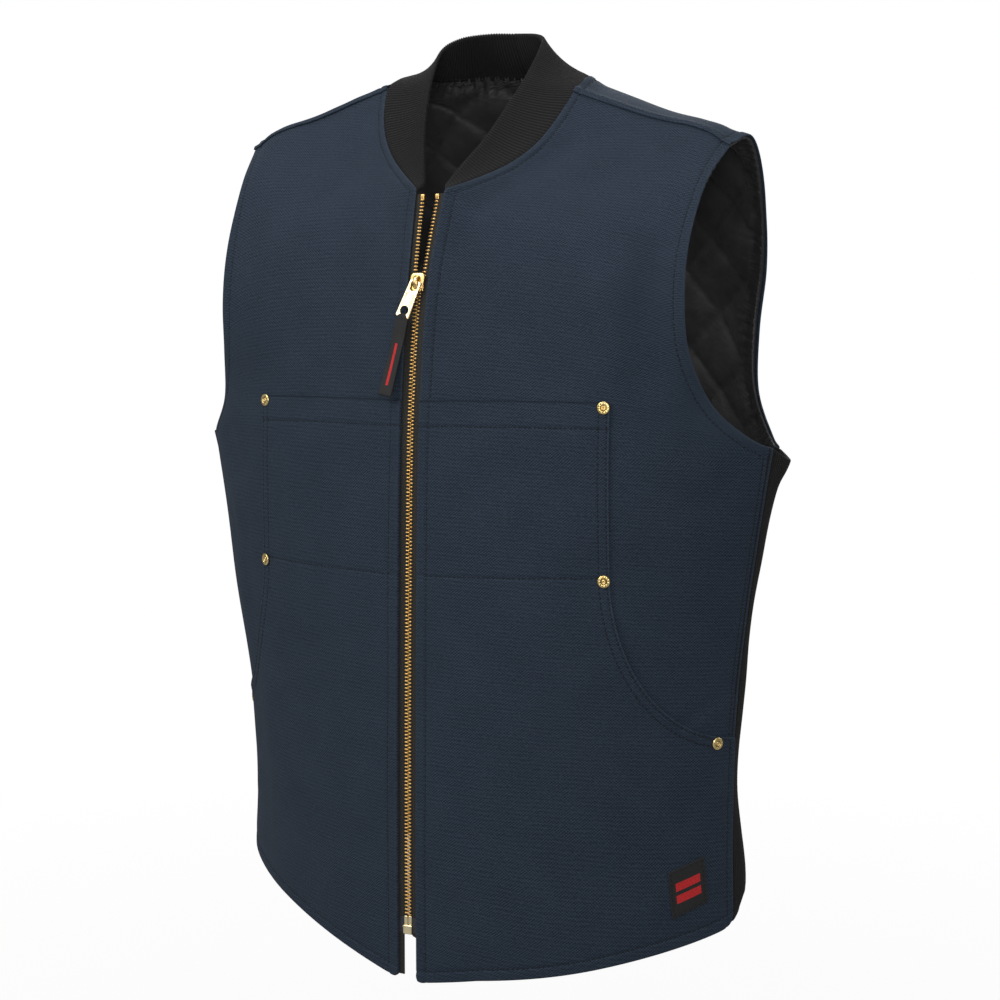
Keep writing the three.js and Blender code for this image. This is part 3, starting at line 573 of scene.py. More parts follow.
def pocketSkins(side):
    base = bases["front"]
    right = pocketRightEdge()
    rightPoints, _ = onBase(base, right[:, 0], right[:, 1])
    topRow = np.interp(pocketCut["topZ"], base["points"][:neckRow, 0, 2], np.arange(neckRow))
    length = abs(pocketCut["topZ"] - base["points"][0, 0, 2])
    steps = panelGrid["edgeSteps"]
    cross = pocketCut["crossZ"] - base["points"][0, 0, 2]
    up = np.concatenate([steps, np.arange(steps[-1], length - 26, 4.0), length - steps,
                         length - np.arange(17, 26, 1.1), cross + np.arange(-6, 7, 1.2)])
    up = np.unique(np.round(np.sort(up), 2))
    up = up[np.concatenate([[True], np.diff(up) > 0.12])]
    v = up / up[-1]
    run = runOf(rightPoints)
    rightRow, rightShare = (np.interp(v * run[-1], run, right[:, k]) for k in (0, 1))
    rowLeft = v * topRow
    lengths = rightShare * rowLengths(base, rightRow)
    share = finePlaces(lengths, 46) / lengths[:, None]  # along the pocket's own row
    rowAt = rowLeft[:, None] * (1 - share) + rightRow[:, None] * share
    shareAt = share * rightShare[:, None]
    points, normals, d = frontSurface(rowAt, shareAt)
    d["outer"] = toLine(points, rightPoints[39:])
    d["top"] = toLine(points, points[-1])
    chest = ease((points[..., 2] - pocketCut["turnZ"]) / 10)
    free = np.minimum(d["outer"], d["top"])
    sewnEdge = np.minimum.reduce([d["front"], d["hem"], d["side"]])
    relief = frontRelief(points, d, side)
    seams = sewn(points, d["front"], seamSteps["front"]) + sewn(points, d["hem"], seamSteps["hem"])
    seams += sewn(points, d["side"], seamSteps["side"], ease((d["outer"] - 2) / 6))
    for step in pocketCut["stitches"]:
        seams += sewn(points, d["outer"], step, 0.6)
    seams += sewn(points, d["top"], pocketCut["topHem"])
    crossAway = np.abs(points[..., 2] - pocketCut["crossZ"] - 0.02 * points[..., 0])
    seams += -0.6 * bell(crossAway, 1.6) * ease((pocketCut["crossEnd"] - points[..., 0]) / 6)
    handSpan = np.clip((points[..., 2] - pocketCut["handLow"]) / pocketCut["handHigh"], 0, 1)
    gape = pocketCut["gape"] * np.sin(math.pi * handSpan) * bell(d["outer"], pocketCut["gapeReach"])
    gape = gape * (1 - chest)
    bulge = 0.9 * ease(np.minimum(free, sewnEdge) / 40)
    lift = layers["gap"] + relief + gape + bulge
    fallFree = edgeFall(free, 1.0) * layers["pocket"] / 2
    fallSewn = edgeFall(sewnEdge, 1.7) * (layers["gap"] + layers["pocket"] + layers["cloth"] / 2)
    outside = lifted(points, normals, lift + layers["pocket"] + seams - fallFree - fallSewn)
    inside = lifted(points, normals, lift + np.minimum(seams, 0) + fallFree - fallSewn)
    corners = hemCorners(points, d)
    outside, inside = outside + corners, inside + corners
    grain = grainOf(base, rowAt, shareAt)
    # painted highlight on the folded edges, less a painted shadow line along the pocket's top edge, where
    # the opening lies in shade
    paintedLightAndDarkHollows = paintedEdgeHighlight(points, np.minimum(d["outer"], sewnEdge)) - bell(d["top"], 1.1)
    grid = {"outside": outside, "inside": inside, "grain": grain, "normals": normals, "d": d,
            "points": points, "paintedLightAndDarkHollows": paintedLightAndDarkHollows}
    return closeBorder(grid, borderMask(points.shape[:2]))


pockets = {side: pocketSkins(side) for side in ("left", "right")}
for side, grid in panels.items():
    closeBorder(grid, borderMask(grid["points"].shape[:2]))
print("pockets shaped")

# Back panel: one piece, lapped over the shoulder seams on to the fronts
backCut = {"lap": 3.2, "lift": 1.75, "rise": 13}
backFolds = [(60, -120, 150, -95, 30, 1.2), (195, -240, 205, -130, 16, -2.0),
             (120, -330, 190, -300, 26, -1.4), (70, -480, 150, -470, 30, -1.2),
             (30, -560, 40, -660, 18, 0.8), (110, -560, 120, -660, 20, -0.9),
             (220, -330, 238, -302, 10, -1.4)]


def backSwell(points):
    x, z = points[..., 0], points[..., 2]
    return (folded(points, backFolds) + 0.5 * np.cos(x / 37) * np.sin(z / 61)
            + 0.35 * np.cos(x / 21) * np.cos(z / 83))


def backSkins():
    base = bases["back"]
    rows = np.unique(np.concatenate([fineRows(base), [neckRow]]))
    rows = rows[np.concatenate([[True], np.diff(rows) > 0.03]) | (rows == neckRow)]
    lapRows = np.array([0.8, 1.6, 2.2, 2.7, 2.95, 3.1, backCut["lap"]])
    lengths = rowLengths(base, rows)
    share = finePlaces(lengths, 40) / lengths[:, None]
    rowAt = np.broadcast_to(rows[:, None], share.shape)
    points, normals = onBase(base, rowAt, share)
    front = bases["front"]
    lapAt = len(front["points"]) - 1 - lapRows / 1.69
    lapPoints, lapNormals = onBase(front, np.broadcast_to(lapAt[:, None], (len(lapAt), share.shape[1])),
                                   np.broadcast_to(share[-1], (len(lapAt), share.shape[1])))
    toShoulder = np.concatenate([toLine(points, lines["shoulder"]) + backCut["lap"],
                                 np.broadcast_to((backCut["lap"] - lapRows)[:, None], lapPoints.shape[:2])])
    grain = grainOf(base, rowAt, share)
    grain = np.concatenate([grain, grain[-1:] + np.stack([0 * lapRows, lapRows], -1)[:, None]])
    points = np.concatenate([points, lapPoints])
    normals = np.concatenate([normals, lapNormals])
    d = {"side": toLine(points, lines["backSide"]), "arm": toLine(points, lines["backArm"]),
         "neck": toLine(points, lines["backNeck"]), "hem": toLine(points, base["points"][0]),
         "shoulder": toShoulder}
    lap = slice(len(rows), None)
    d["arm"][lap] = toLine(points[lap], lines["frontArm"])
    d["neck"][lap] = toLine(points[lap], lines["frontNeck"])
    edge = np.minimum.reduce(list(d.values()))
    calm = ease(edge / 14)
    relief = backSwell(points) * (0.2 + 0.8 * calm)
    relief = relief + backCut["lift"] * ease((backCut["rise"] - d["shoulder"]) / 10)
    sewnEdges = ("neck", "arm", "side", "hem", "shoulder")
    seams = sum(sewn(points, d[name], seamSteps[name]) for name in sewnEdges)
    fall = edgeFall(edge, panelGrid["edgeRound"]) * layers["cloth"] / 2
    outside = lifted(points, normals, relief + seams - fall)
    inside = lifted(points, normals, relief + np.clip(seams, -0.2, 0) - layers["cloth"] + fall)
    openRows = np.concatenate([rows >= neckRow - 1e-6, np.ones(len(lapRows), bool)])
    # the back carries a painted highlight on its folded edges
    grid = {"outside": outside, "inside": inside, "grain": grain, "normals": normals, "d": d,
            "paintedLightAndDarkHollows": paintedEdgeHighlight(points, edge)}
    return closeBorder(grid, borderMask(points.shape[:2], openRows))


backGrid = backSkins()
print("back panel shaped")


def sideSkins(grid, side):
    # a half's two skins in place; the mirror image turns faces round, so its order is turned too
    flip = side == "right"
    grain = grid["grain"] * (np.array([-1, 1]) if flip else 1)
    paintedLightAndDarkHollows = grid.get("paintedLightAndDarkHollows", np.zeros(grain.shape[:2]))
    return [(placeSide(grid[skin], side), grain, turned, paintedLightAndDarkHollows)
            for skin, turned in (("outside", flip), ("inside", not flip))]


def sew(grid, side, name, keep, step=None, **walk):
    step = seamSteps[name] if step is None else step
    addStitch(contour(grid, grid["d"][name], step, keep=keep, **walk), side)


for side, panel in panels.items():
    d, height = panel["d"], panel["points"][..., 2]
    above = height > pocketCut["topZ"] + 1
    sew(panel, side, "front", above & (d["neck"] > 5.5))
    sew(panel, side, "neck", (d["front"] > 8.5) & (height > -100))
    sew(panel, side, "arm", (d["side"] > 7) | (height > -280), fromEnd=True)
    sew(panel, side, "side", (height > pocketCut["sideZ"] + 2) & (d["arm"] > 8), fromEnd=True)
    pocket = pockets[side]
    d, height = pocket["d"], pocket["points"][..., 2]
    low = (d["hem"] > 8.6) & (d["outer"] > 2.5) & (height < pocketCut["sideZ"])
    sew(pocket, side, "front", (d["hem"] > 8.6) & (d["top"] > 0.8))
    sew(pocket, side, "hem", (d["front"] > 8.6) & (d["side"] > 7), axis=0)
    sew(pocket, side, "side", low, fromEnd=True)
    sew(pocket, side, "top", (d["outer"] > 2) & (d["front"] > 0.8), pocketCut["topHem"], axis=0,
        fromEnd=True)
    for step in pocketCut["stitches"]:
        sew(pocket, side, "outer", (d["top"] > 1.5) & (d["side"] > 1.5), step, fromEnd=True)
    tilt = height - pocketCut["crossZ"] - 0.02 * pocket["points"][..., 0]
    addStitch(contour(pocket, tilt, 0.0, axis=0, keep=(d["outer"] > 2) & (d["front"] > 9)), side)
for side in ("left", "right"):
    d = backGrid["d"]
    sew(backGrid, side, "neck", d["shoulder"] > 5)
    sew(backGrid, side, "arm", d["side"] > 7, fromEnd=True)
    sew(backGrid, side, "side", (d["hem"] > 8.6) & (d["arm"] > 8), fromEnd=True)
    sew(backGrid, side, "hem", d["side"] > 7, axis=0)
    sew(backGrid, side, "shoulder", (d["arm"] > 8) & (d["neck"] > 5.5), axis=0, fromEnd=True)
print("stitch lines found:", len(stitchPaths))

# Rib knit collar: two layers folded at the free edge, tapering to the zip
collarKnit = {"ribPitch": 2.6, "ribDepth": 0.42, "perRib": 6, "bow": 3.0, "fullBand": 40, "tuck": 3.2,
              "under": 1.9, "rows": 13, "foldRows": 5, "endTaper": 1.6}


def ribWave(phase):
    # round wales with narrow channels between them
    return 1 - 2 * np.abs(np.cos(math.pi * phase)) ** 2.6


def collarSkin():
    c = collarKnit
    necks = np.vstack([seamLines["frontNeck"], seamLines["backNeck"][-2::-1]])
    seam, free = edgeLine(necks), lines["collarFree"]
    share = np.linspace(0, 1, 400)
    base, top = pointsAt(seam, share), pointsAt(free, share)
    run = runOf((base + top) / 2)
    ribs = 2 * run[-1] / c["ribPitch"]
    ends = np.array([0, 0.25, 0.6, 1.0, 1.4]) / run[-1]
    even = np.linspace(ends[-1], 1, int(ribs / 2 * c["perRib"]))
    along = np.concatenate([ends[:-1], even])
    along = np.interp(along * run[-1], run, share)
    base, top = pointsAt(seam, along), pointsAt(free, along)
    tangent = unit(np.gradient(pointsAt(seam, share), axis=0))
    tangent = np.stack([np.interp(along, share, tangent[:, k]) for k in range(3)], -1)
    tangent[-1] = (-1, 0, 0)
    band = top - base
    length = np.linalg.norm(band, axis=1)
    up = band / length[:, None]
    inwards = unit(np.cross(up, tangent))
    inwards[-1, 0] = 0
    run = np.interp(along, share, run)
    taper = np.sqrt(np.clip(run / c["endTaper"], 0, 1) * (2 - np.clip(run / c["endTaper"], 0, 1)))
    phase = (run[-1] - run) / c["ribPitch"]
    wave = (c["ribDepth"] * ribWave(phase) * taper)[None, :, None]
    half = layers["collar"] / 2
    s = np.linspace(0, 1, c["rows"])[:, None]
    high = s * (length - half + c["tuck"])[None] - c["tuck"]
    q = np.clip(high / length[None], 0, 1)
    bow = c["bow"] * 4 * q * (1 - q) * np.minimum(1, length / c["fullBand"])[None]
    bow = bow + c["under"] * (1 - ease((high + 1.2) / 3.4))
    middle = base[None] + up[None] * high[..., None] + inwards[None] * (bow + half)[..., None]
    thick = (half * taper)[None, :, None]
    outside = middle - inwards[None] * (thick + wave)
    inside = middle + inwards[None] * (thick + wave)
    turns = np.linspace(0, math.pi, c["foldRows"] + 2)[1:-1][:, None, None]
    fold = middle[-1][None] + (thick + wave) * (up[None] * np.sin(turns) - inwards[None] * np.cos(turns))
    loop = np.concatenate([outside, fold, inside[::-1], outside[:1]])
    grainRun = np.broadcast_to(run[None], loop.shape[:2])
    grainUp = np.concatenate([high, high[-1:] + half * turns[..., 0], 200 - high[::-1], high[:1]])
    grain = np.stack([grainRun, grainUp], -1)
    whole = np.concatenate([loop, mirrored(loop)[:, -2::-1]], 1)
    wholeGrain = np.concatenate([grain, (grain * (-1, 1) + (2 * run[-1], 0))[:, -2::-1]], 1)
    return settled(whole), wholeGrain


# Rib knit side inserts, sewn under the fronts and the back
sideKnit = {"bulge": (9, 10, 7.5, 4.5, 4, 5, 6, 5.5, 5, 5.5, 6, 8, 11), "curl": 4.5, "ribPitch": 2.6,
            "ribDepth": 0.4, "perRib": 6, "tuck": 3.5, "under": 1.9, "rows": 64, "topDip": 9,
            "edgeRound": 1.6, "high": 395.0, "wide": 66}


def knitSkins():
    c = sideKnit
    steps = np.array([0, 0.3, 0.8, 1.5, 2.5])
    top, wide = c["high"], c["wide"]
    up = np.unique(np.concatenate([steps, np.linspace(4, top - 4, c["rows"]), top - steps])) / top
    a, b = pointsAt(lines["frontSide"], up), pointsAt(lines["backSide"], up)
    out = smoothValues(c["bulge"], up * (len(c["bulge"]) - 1))
    out = out - c["curl"] * (1 - ease(up * top / 20))
    away = unit(np.stack([b[:, 1] - a[:, 1], a[:, 0] - b[:, 0], 0 * up], -1))
    width = np.linalg.norm(b - a, axis=1)
    count = int(wide / c["ribPitch"] * c["perRib"])
    s = np.concatenate([[0, 0], np.linspace(0, 1, count), [1, 1]])
    tuck = c["tuck"] * np.array([-1, -0.5, 0.5, 1])
    past = np.concatenate([tuck[:2], np.zeros(count), tuck[2:]])  # sewn in under the panels
    bow = 4 * s * (1 - s)
    points = (a[:, None] * (1 - s)[None, :, None] + b[:, None] * s[None, :, None]
              + away[:, None] * (out[:, None] * bow[None])[..., None]
              + unit(b - a)[:, None] * past[None, :, None])
    points[..., 2] -= c["topDip"] * bow[None] * ease((up - 0.9) / 0.1)[:, None]
    normals = gridNormals(points)
    edge = np.minimum(up, 1 - up)[:, None] * top + 0 * bow[None]
    seam = np.minimum(s[None] * width[:, None], (1 - s)[None] * width[:, None])
    under = c["under"] * (1 - ease((seam - 0.3) / 3.0))
    phase = (s * wide - wide / 2) / c["ribPitch"]
    wave = c["ribDepth"] * ribWave(phase)[None] * (1 - edgeFall(edge, 2.5)) * ease(seam / 2)
    swell = 0.5 * np.sin(up * 19)[:, None] * bow[None]
    fall = edgeFall(edge, c["edgeRound"]) * layers["knit"] / 2
    outside = lifted(points, normals, wave + swell - under - fall)
    inside = lifted(points, normals, swell - wave - under - layers["knit"] + fall)
    grain = np.stack([(s * wide)[None] + past[None] + 0 * edge, points[..., 2]], -1)
    grid = {"outside": outside, "inside": inside, "grain": grain}
    return closeBorder(grid, borderMask(points.shape[:2]))


# Quilted lining: diamonds of wadding, gathered along every edge
quilting = {"diamond": 49, "puff": 4.0, "pitch": 3.25, "pucker": 0.7, "crease": 1.3, "puckerPitch": 7.5,
            "corded": 10, "gather": 2.1, "neckGather": 2.4, "gatherPitch": 7.5,
            "trim": {"front": 17, "neck": 1.6, "arm": 1.6, "side": 2.5, "hem": 17, "shoulder": 0.8}}


def quiltRelief(grain, edge, along, neck):
    q = quilting
    a = (grain[..., 0] + grain[..., 1]) / math.sqrt(2) / q["diamond"]
    b = (grain[..., 0] - grain[..., 1]) / math.sqrt(2) / q["diamond"]
    dome = (np.abs(np.sin(math.pi * a)) * np.abs(np.sin(math.pi * b))) ** 0.4
    toA, toB = (np.abs(v - np.round(v)) * q["diamond"] for v in (a, b))
    near = np.minimum(toA, toB)
    slide = np.where(toA < toB, b, a) * q["diamond"]
    wander = 2.3 * np.sin(slide / 17 + 3 * np.round(a) + 5 * np.round(b))
    pucker = np.sin(2 * math.pi * slide / q["puckerPitch"] + wander)
    relief = q["puff"] * dome + q["pucker"] * pucker * bell(near - 3, 4.5)
    relief = relief - q["crease"] * np.exp(-near / 1.9)
    rim = bell(edge - q["corded"] * 0.55, 4)
    gathers = np.sin(2 * math.pi * along / q["gatherPitch"] + 1.9 * np.sin(along / 13))
    relief = relief * ease((edge - 4) / 16) + 0.3 * rim
    relief = relief + q["gather"] * gathers * bell(edge - 11, 8)
    relief = relief + (q["neckGather"] * gathers * ease((neck - 3) / 5)
                       * np.exp(-np.maximum(neck - 8, 0) / 11))
    return relief - 0.9 * bell(edge - q["corded"], 1.6)


def alongLine(points, line):
    # how far along a line the nearest place to each point lies
    flat, run = points.reshape(-1, 3), runOf(line)
    near = [np.argmin(((part[:, None] - line) ** 2).sum(-1), 1) for part in np.array_split(flat, 60)]
    return run[np.concatenate(near)].reshape(points.shape[:-1])


def liningSkins(which):
    base = bases[which]
    q, trim = quilting, quilting["trim"]
    up = np.linalg.norm(np.diff(base["points"][:, 60], axis=0), axis=-1)
    low, high = trim["hem"] / up[0], len(up) - trim["shoulder"] / up[-1]
    rows = np.concatenate([low + np.array([0, 0.6, 1.8]),
                           np.arange(low + 4, high - 4, q["pitch"] / up.mean()),
                           high - np.array([3.4, 1.8, 0.6, 0])])
    if which == "back":
        rows = np.unique(np.concatenate([rows, [neckRow - 1.0]]))
    lengths = rowLengths(base, rows)
    arm = ease((rows - bodyRow + 6) / 8)
    end = trim["side"] * (1 - arm) + trim["arm"] * arm
    neck = ease((rows - neckRow + 4) / 6)
    start = trim["neck"] * neck + (trim["front"] * (1 - neck) if which == "front" else 0)
    count = int((lengths.mean() - 20) / q["pitch"])
    inner = np.concatenate([[0, 0.004, 0.012], np.linspace(0.022, 0.978, count), [0.988, 0.996, 1]])
    share = (start[:, None] + inner[None] * (lengths - start - end)[:, None]) / lengths[:, None]
    rowAt = np.broadcast_to(rows[:, None], share.shape)
    points, normals = onBase(base, rowAt, share)
    grain = grainOf(base, rowAt, share)
    d = {"side": toLine(points, lines[which + "Side"]) - 2, "arm": toLine(points, lines[which + "Arm"]),
         "neck": toLine(points, lines[which + "Neck"]), "hem": toLine(points, base["points"][0]) - 16,
         "shoulder": toLine(points, lines["shoulder"])}
    if which == "front":
        d["front"] = toLine(points, lines["frontEdge"]) - 16
    edge = np.minimum.reduce(list(d.values()))
    along = np.where(d["neck"] < d["arm"], alongLine(points, lines[which + "Neck"]),
                     np.where(rowAt > bodyRow, alongLine(points, lines[which + "Arm"]), points[..., 2]))
    relief = np.maximum(quiltRelief(grain, edge, along, d["neck"]), -1.2)
    outer = layers["cloth"] + layers["gap"]
    fall = edgeFall(edge, 2.2) * layers["lining"] / 2
    if which == "front":
        both = [frontRelief(points, frontDistances(points), side) for side in ("left", "right")]
        dent = np.minimum(np.minimum(*both), 0)
    else:
        dent = np.minimum(backSwell(points), 0)
    outside = lifted(points, normals, dent - outer - fall)
    inside = lifted(points, normals, dent - outer - layers["lining"] * 0.75 - relief + fall)
    # painted shade: a band near the lining's edges, darkened in the quilt material
    grid = {"outside": outside, "inside": inside, "grain": grain,
            "paintedLightAndDarkHollows": bell(edge - 6, 5)}
    openRows = rows >= neckRow - 1.0 - 1e-6 if which == "back" else None
    return closeBorder(grid, borderMask(points.shape[:2], openRows))


knitGrid = knitSkins()
liningGrids = {which: liningSkins(which) for which in ("front", "back")}
print("knits and lining shaped")

# Zip: tape, teeth, stops, box and slider follow the front edges
zipCut = {
    "depth": 2.0, "under": 5.0, "footZ": -666, "headZ": -95, "toothPitch": 2.88, "toothWide": 3.7,
    "toothThick": 3.4, "tapeFootZ": -682.5, "facingFootZ": -715, "tapeHeadZ": -90,
    "openZ": (-720, -169, -156, -86), "openHalf": (0.15, 0.15, 2.1, 5.2),
    "box": (8.0, 5.0, 7.5), "pin": (3.4, 3.0, 7.0), "stop": (3.6, 3.6, 4.4),
}
frontZ = lines["frontEdge"][:, 2]


def zipY(z):
    return np.interp(z, frontZ, lines["frontEdge"][:, 1])


def chainHalf(z):
    return np.interp(z, zipCut["openZ"], zipCut["openHalf"])


def edgeX(z):
    return np.interp(z, frontZ, lines["frontEdge"][:, 0])


def chainY(z):
    return zipY(z) + zipCut["depth"] + layers["tape"] / 2


def tapeSkins(side):
    c = zipCut
    foot = c["tapeFootZ"] if side == "left" else c["facingFootZ"]
    z = np.concatenate([foot + np.array([0, 0.3, 0.8, 1.6]), np.linspace(foot + 3, c["tapeHeadZ"] - 1, 190),
                        [c["tapeHeadZ"] - 0.4, c["tapeHeadZ"]]])
    s = np.concatenate([[0, 0.03, 0.07, 0.11, 0.16], np.linspace(0.22, 1, 9)])
    past = ease((c["footZ"] - 13.5 - z) / 3)  # below the box the right tape narrows to a facing
    start = (chainHalf(z) + 0.9) * (1 - past) + (edgeX(z) - 4.4) * past
    stop = edgeX(z) + c["under"]
    x = start[:, None] * (1 - s) + stop[:, None] * s
    bead = 0.55 * bell(x - start[:, None] - 0.8, 0.7)
    tapeBack = np.interp(z, frontZ[::60], (0.7, 0.7, 0.7, 1.0, 2.5, 3.2))
    y = zipY(z)[:, None] + c["depth"] + tapeBack[:, None] * ease((x - edgeX(z)[:, None]) / c["under"])
    zz = np.repeat(z[:, None], len(s), 1)
    if side == "left":
        zz = zz - 5 * ((x - 4) / 9) * ease((foot + 12 - zz) / 12)  # the tape's end is cut aslant
    sag = 0.25 * np.sin(zz / 11) * s[None] * (1 - s[None])
    points = np.stack([x, y + sag, zz], -1)
    normals = np.broadcast_to(np.array([0, -1.0, 0]), points.shape)
    outside = points + normals * bead[..., None]
    inside = points - normals * (layers["tape"] + bead)[..., None]
    border = borderMask(points.shape[:2])
    middle = (outside + inside) / 2
    outside = np.where(border[..., None], middle, outside)
    grid = {"outside": outside, "inside": inside, "grain": np.stack([x, zz], -1)}
    return closeBorder(grid, border)


def zipSkins(grid, side):
    # the zip hangs straight, so it isn't settled with the cloth
    flip = side == "right"
    turn = mirrored if flip else (lambda p: p)
    return [(turn(grid["outside"]), grid["grain"], not flip), (turn(grid["inside"]), grid["grain"], flip)]


def roundedBlock(size, centre, bevel, segments=3):
    bm = bmesh.new()
    bmesh.ops.create_cube(bm, size=1)
    bmesh.ops.scale(bm, vec=Vector(size), verts=bm.verts)
    bmesh.ops.bevel(bm, geom=bm.edges[:], offset=bevel, segments=segments, affect="EDGES", profile=0.6)
    bmesh.ops.translate(bm, vec=Vector(centre), verts=bm.verts)
    return bm


def meshOf(name, parts):
    # joins bmesh parts, made in millimetres, into one mesh in metres
    whole = bmesh.new()
    for part in parts:
        scratch = bpy.data.meshes.new("scratch")
        part.to_mesh(scratch)
        part.free()
        whole.from_mesh(scratch)
        bpy.data.meshes.remove(scratch)
    bmesh.ops.scale(whole, vec=(mm, mm, mm), verts=whole.verts)
    bmesh.ops.recalc_face_normals(whole, faces=whole.faces)
    mesh = bpy.data.meshes.new(name)
    whole.to_mesh(mesh)
    whole.free()
    mesh.shade_smooth()
    return mesh


def curvePart(splines, thick=0.0, bevel=0.0, matrix=None, flat=True, resolution=2):
    # a flat plate with rounded edges, or a round wire, from outlines; returned as bmesh
    data = bpy.data.curves.new("outline", "CURVE")
    data.dimensions = "2D" if flat else "3D"
    if flat:
        data.fill_mode = "BOTH"
    data.extrude = max(thick / 2 - bevel, 0) if flat else 0
    data.bevel_depth = bevel
    data.bevel_resolution = resolution
    data.offset = -bevel if flat else 0
    data.use_fill_caps = True
    for points, closed in splines:
        spline = data.splines.new("POLY")
        spline.points.add(len(points) - 1)
        for target, p in zip(spline.points, points):
            target.co = (*p, 0, 1) if flat else (*p, 1)
        spline.use_cyclic_u = closed
    holder = bpy.data.objects.new("outline", data)
    bpy.context.scene.collection.objects.link(holder)
    mesh = bpy.data.meshes.new_from_object(holder.evaluated_get(bpy.context.evaluated_depsgraph_get()))
    bm = bmesh.new()
    bm.from_mesh(mesh)
    bmesh.ops.remove_doubles(bm, verts=bm.verts, dist=1e-4)
    bpy.data.objects.remove(holder)
    bpy.data.curves.remove(data)
    bpy.data.meshes.remove(mesh)
    if matrix is not None:
        bmesh.ops.transform(bm, matrix=matrix, verts=bm.verts)
    return bm


def arcPoints(cx, cy, radius, start, stop, count):
    turns = np.radians(np.linspace(start, stop, count))
    return [(cx + radius * math.cos(t), cy + radius * math.sin(t)) for t in turns]


def frameMatrix(origin, x, y, z):
    m = Matrix((x, y, z)).transposed().to_4x4()
    m.translation = Vector(origin)
    return m


# Slider and pull, in the frames of their CAD pieces
sliderCut = {"length": 15, "width": 12.6, "plate": 1.4, "gap": 2.4, "foot": 0.72, "head": 0.42,
             "shoulder": 3, "throat": (2.4, 6.2, 3.0), "bailLength": 11.4, "bailRise": 4.4,
             "bailWire": 1.5, "bailWide": 4.2}
pullCut = {"length": 31, "width": 10.4, "foot": 12.6, "thick": 1.5, "eyeWidth": 6.6, "eyeHeight": 7.2,
           "rim": 1.7, "hole": 3.7, "holeRim": 2.2, "corner": 1.0, "bevel": 0.3,
           "panel": (7.0, 8.4, 10.0), "panelThick": 0.9}
ribbonCut = {"length": 66.8, "width": 11.6, "thick": 2.0, "neck": 6.4, "flare": 5, "lean": 8,
             "tabLean": 19, "rise": 1.0}
hinge = Vector(frame["joints"][0]["pos_m"]) / mm
pullAxes = (Vector((0.9455186, -0.0633245, -0.3193503)), Vector((0, 0.9809016, -0.1945046)),
            Vector((0.3255682, 0.1839078, 0.9274607)))
zipAxes = (Vector((1, 0, 0)), Vector((0, 0.9809016, -0.1945046)), Vector((0, 0.1945046, 0.9809016)))
sliderOrigin = hinge + zipAxes[1] * 5.15


def flatIn(origin, axes, out):
    # a plate drawn in x and z of a frame, standing out along its front
    return frameMatrix(origin - axes[1] * out, axes[0], axes[2], -axes[1])


def sliderMesh():
    c = sliderCut
    half, low, high = c["width"] / 2, -c["length"] / 2, c["length"] / 2
    foot, head = half * c["foot"], half * c["head"]
    bend = [((1 - t) ** 2 * half + 2 * t * (1 - t) * half + t * t * head,
             (1 - t) ** 2 * c["shoulder"] + 2 * t * (1 - t) * high + t * t * high)
            for t in np.linspace(0, 1, 9)]
    outline = [(-foot + 0.8, low), (foot - 0.8, low), (foot, low + 0.9)] + bend
    outline += [(-x, z) for x, z in reversed(bend)] + [(-foot, low + 0.9)]
    middle = c["gap"] + c["plate"] / 2
    plates = [curvePart([(outline, True)], c["plate"], 0.45, flatIn(sliderOrigin, zipAxes, out),
                        resolution=3) for out in (middle, -middle)]
    wedge = roundedBlock(c["throat"], (0, 0, high - c["throat"][2] / 2), 0.5)
    bmesh.ops.transform(wedge, matrix=frameMatrix(sliderOrigin, *zipAxes), verts=wedge.verts)
    reach = c["bailLength"] / 2 - c["bailWire"] / 2
    top = c["bailRise"] - c["bailWire"] / 2
    arch = [(0, -(c["gap"] + c["plate"]) - top * math.sin(t) ** 0.8 + 0.3, -reach * math.cos(t))
            for t in np.linspace(0, math.pi, 21)]
    bail = curvePart([(arch, False)], bevel=c["bailWire"] / 2, flat=False, resolution=3)
    bmesh.ops.scale(bail, vec=(c["bailWide"] / c["bailWire"], 1, 1), verts=bail.verts)
    bmesh.ops.transform(bail, matrix=frameMatrix(sliderOrigin, *zipAxes), verts=bail.verts)
    rails = []
    for x in (-1, 1):  # flanges along the lower sides of both plates
        for y in (-1, 1):
            rail = roundedBlock((1.0, 1.5, 8.0), (x * (half * 0.8), y * (c["gap"] - 0.5), -3.0), 0.3, 2)
            bmesh.ops.transform(rail, matrix=frameMatrix(sliderOrigin, *zipAxes), verts=rail.verts)
            rails.append(rail)
    return meshOf("zip_slider_body", plates + [wedge, bail] + rails)


def tabMesh():
    c = pullCut
    half, foot, top, cut = c["width"] / 2, c["foot"] / 2, c["rim"] / 2, c["corner"]
    bottom = top - c["length"]
    outline = [(-half + cut, top), (half - cut, top), (half, top - cut), (foot, bottom + cut),
               (foot - cut, bottom),
               (-foot + cut, bottom), (-foot, bottom + cut), (-half, top - cut)]
    eyeX, eyeTop, eyeFoot = c["eyeWidth"] / 2, -top, -top - c["eyeHeight"]
    eye = [(-eyeX + 0.6, eyeTop), (-eyeX, eyeTop - 0.6)] + arcPoints(0, eyeFoot + eyeX, eyeX, 180, 360, 13)
    eye += [(eyeX, eyeTop - 0.6), (eyeX - 0.6, eyeTop)]
    hole = arcPoints(0, bottom + c["holeRim"] + c["hole"], c["hole"], 0, 348, 30)
    wideTop, wideFoot, tall = c["panel"]
    panelTop = eyeFoot - c["rim"] - 0.4
    panel = [(-wideTop / 2, panelTop - 0.7), (-wideTop / 2 + 0.7, panelTop), (wideTop / 2 - 0.7, panelTop),
             (wideTop / 2, panelTop - 0.7), (wideFoot / 2, panelTop - tall),
             (-wideFoot / 2, panelTop - tall)]
    place = flatIn(hinge, pullAxes, 0)
    loops = [(loop, True) for loop in (outline, eye, hole, panel)]
    plate = curvePart(loops, c["thick"], c["bevel"], place, resolution=3)
    sunk = [(x * 1.14, panelTop - tall / 2 + (y - panelTop + tall / 2) * 1.1) for x, y in panel]
    return meshOf("pull_tab_plate", [plate, curvePart([(sunk, True)], c["panelThick"], 0.1, place)])


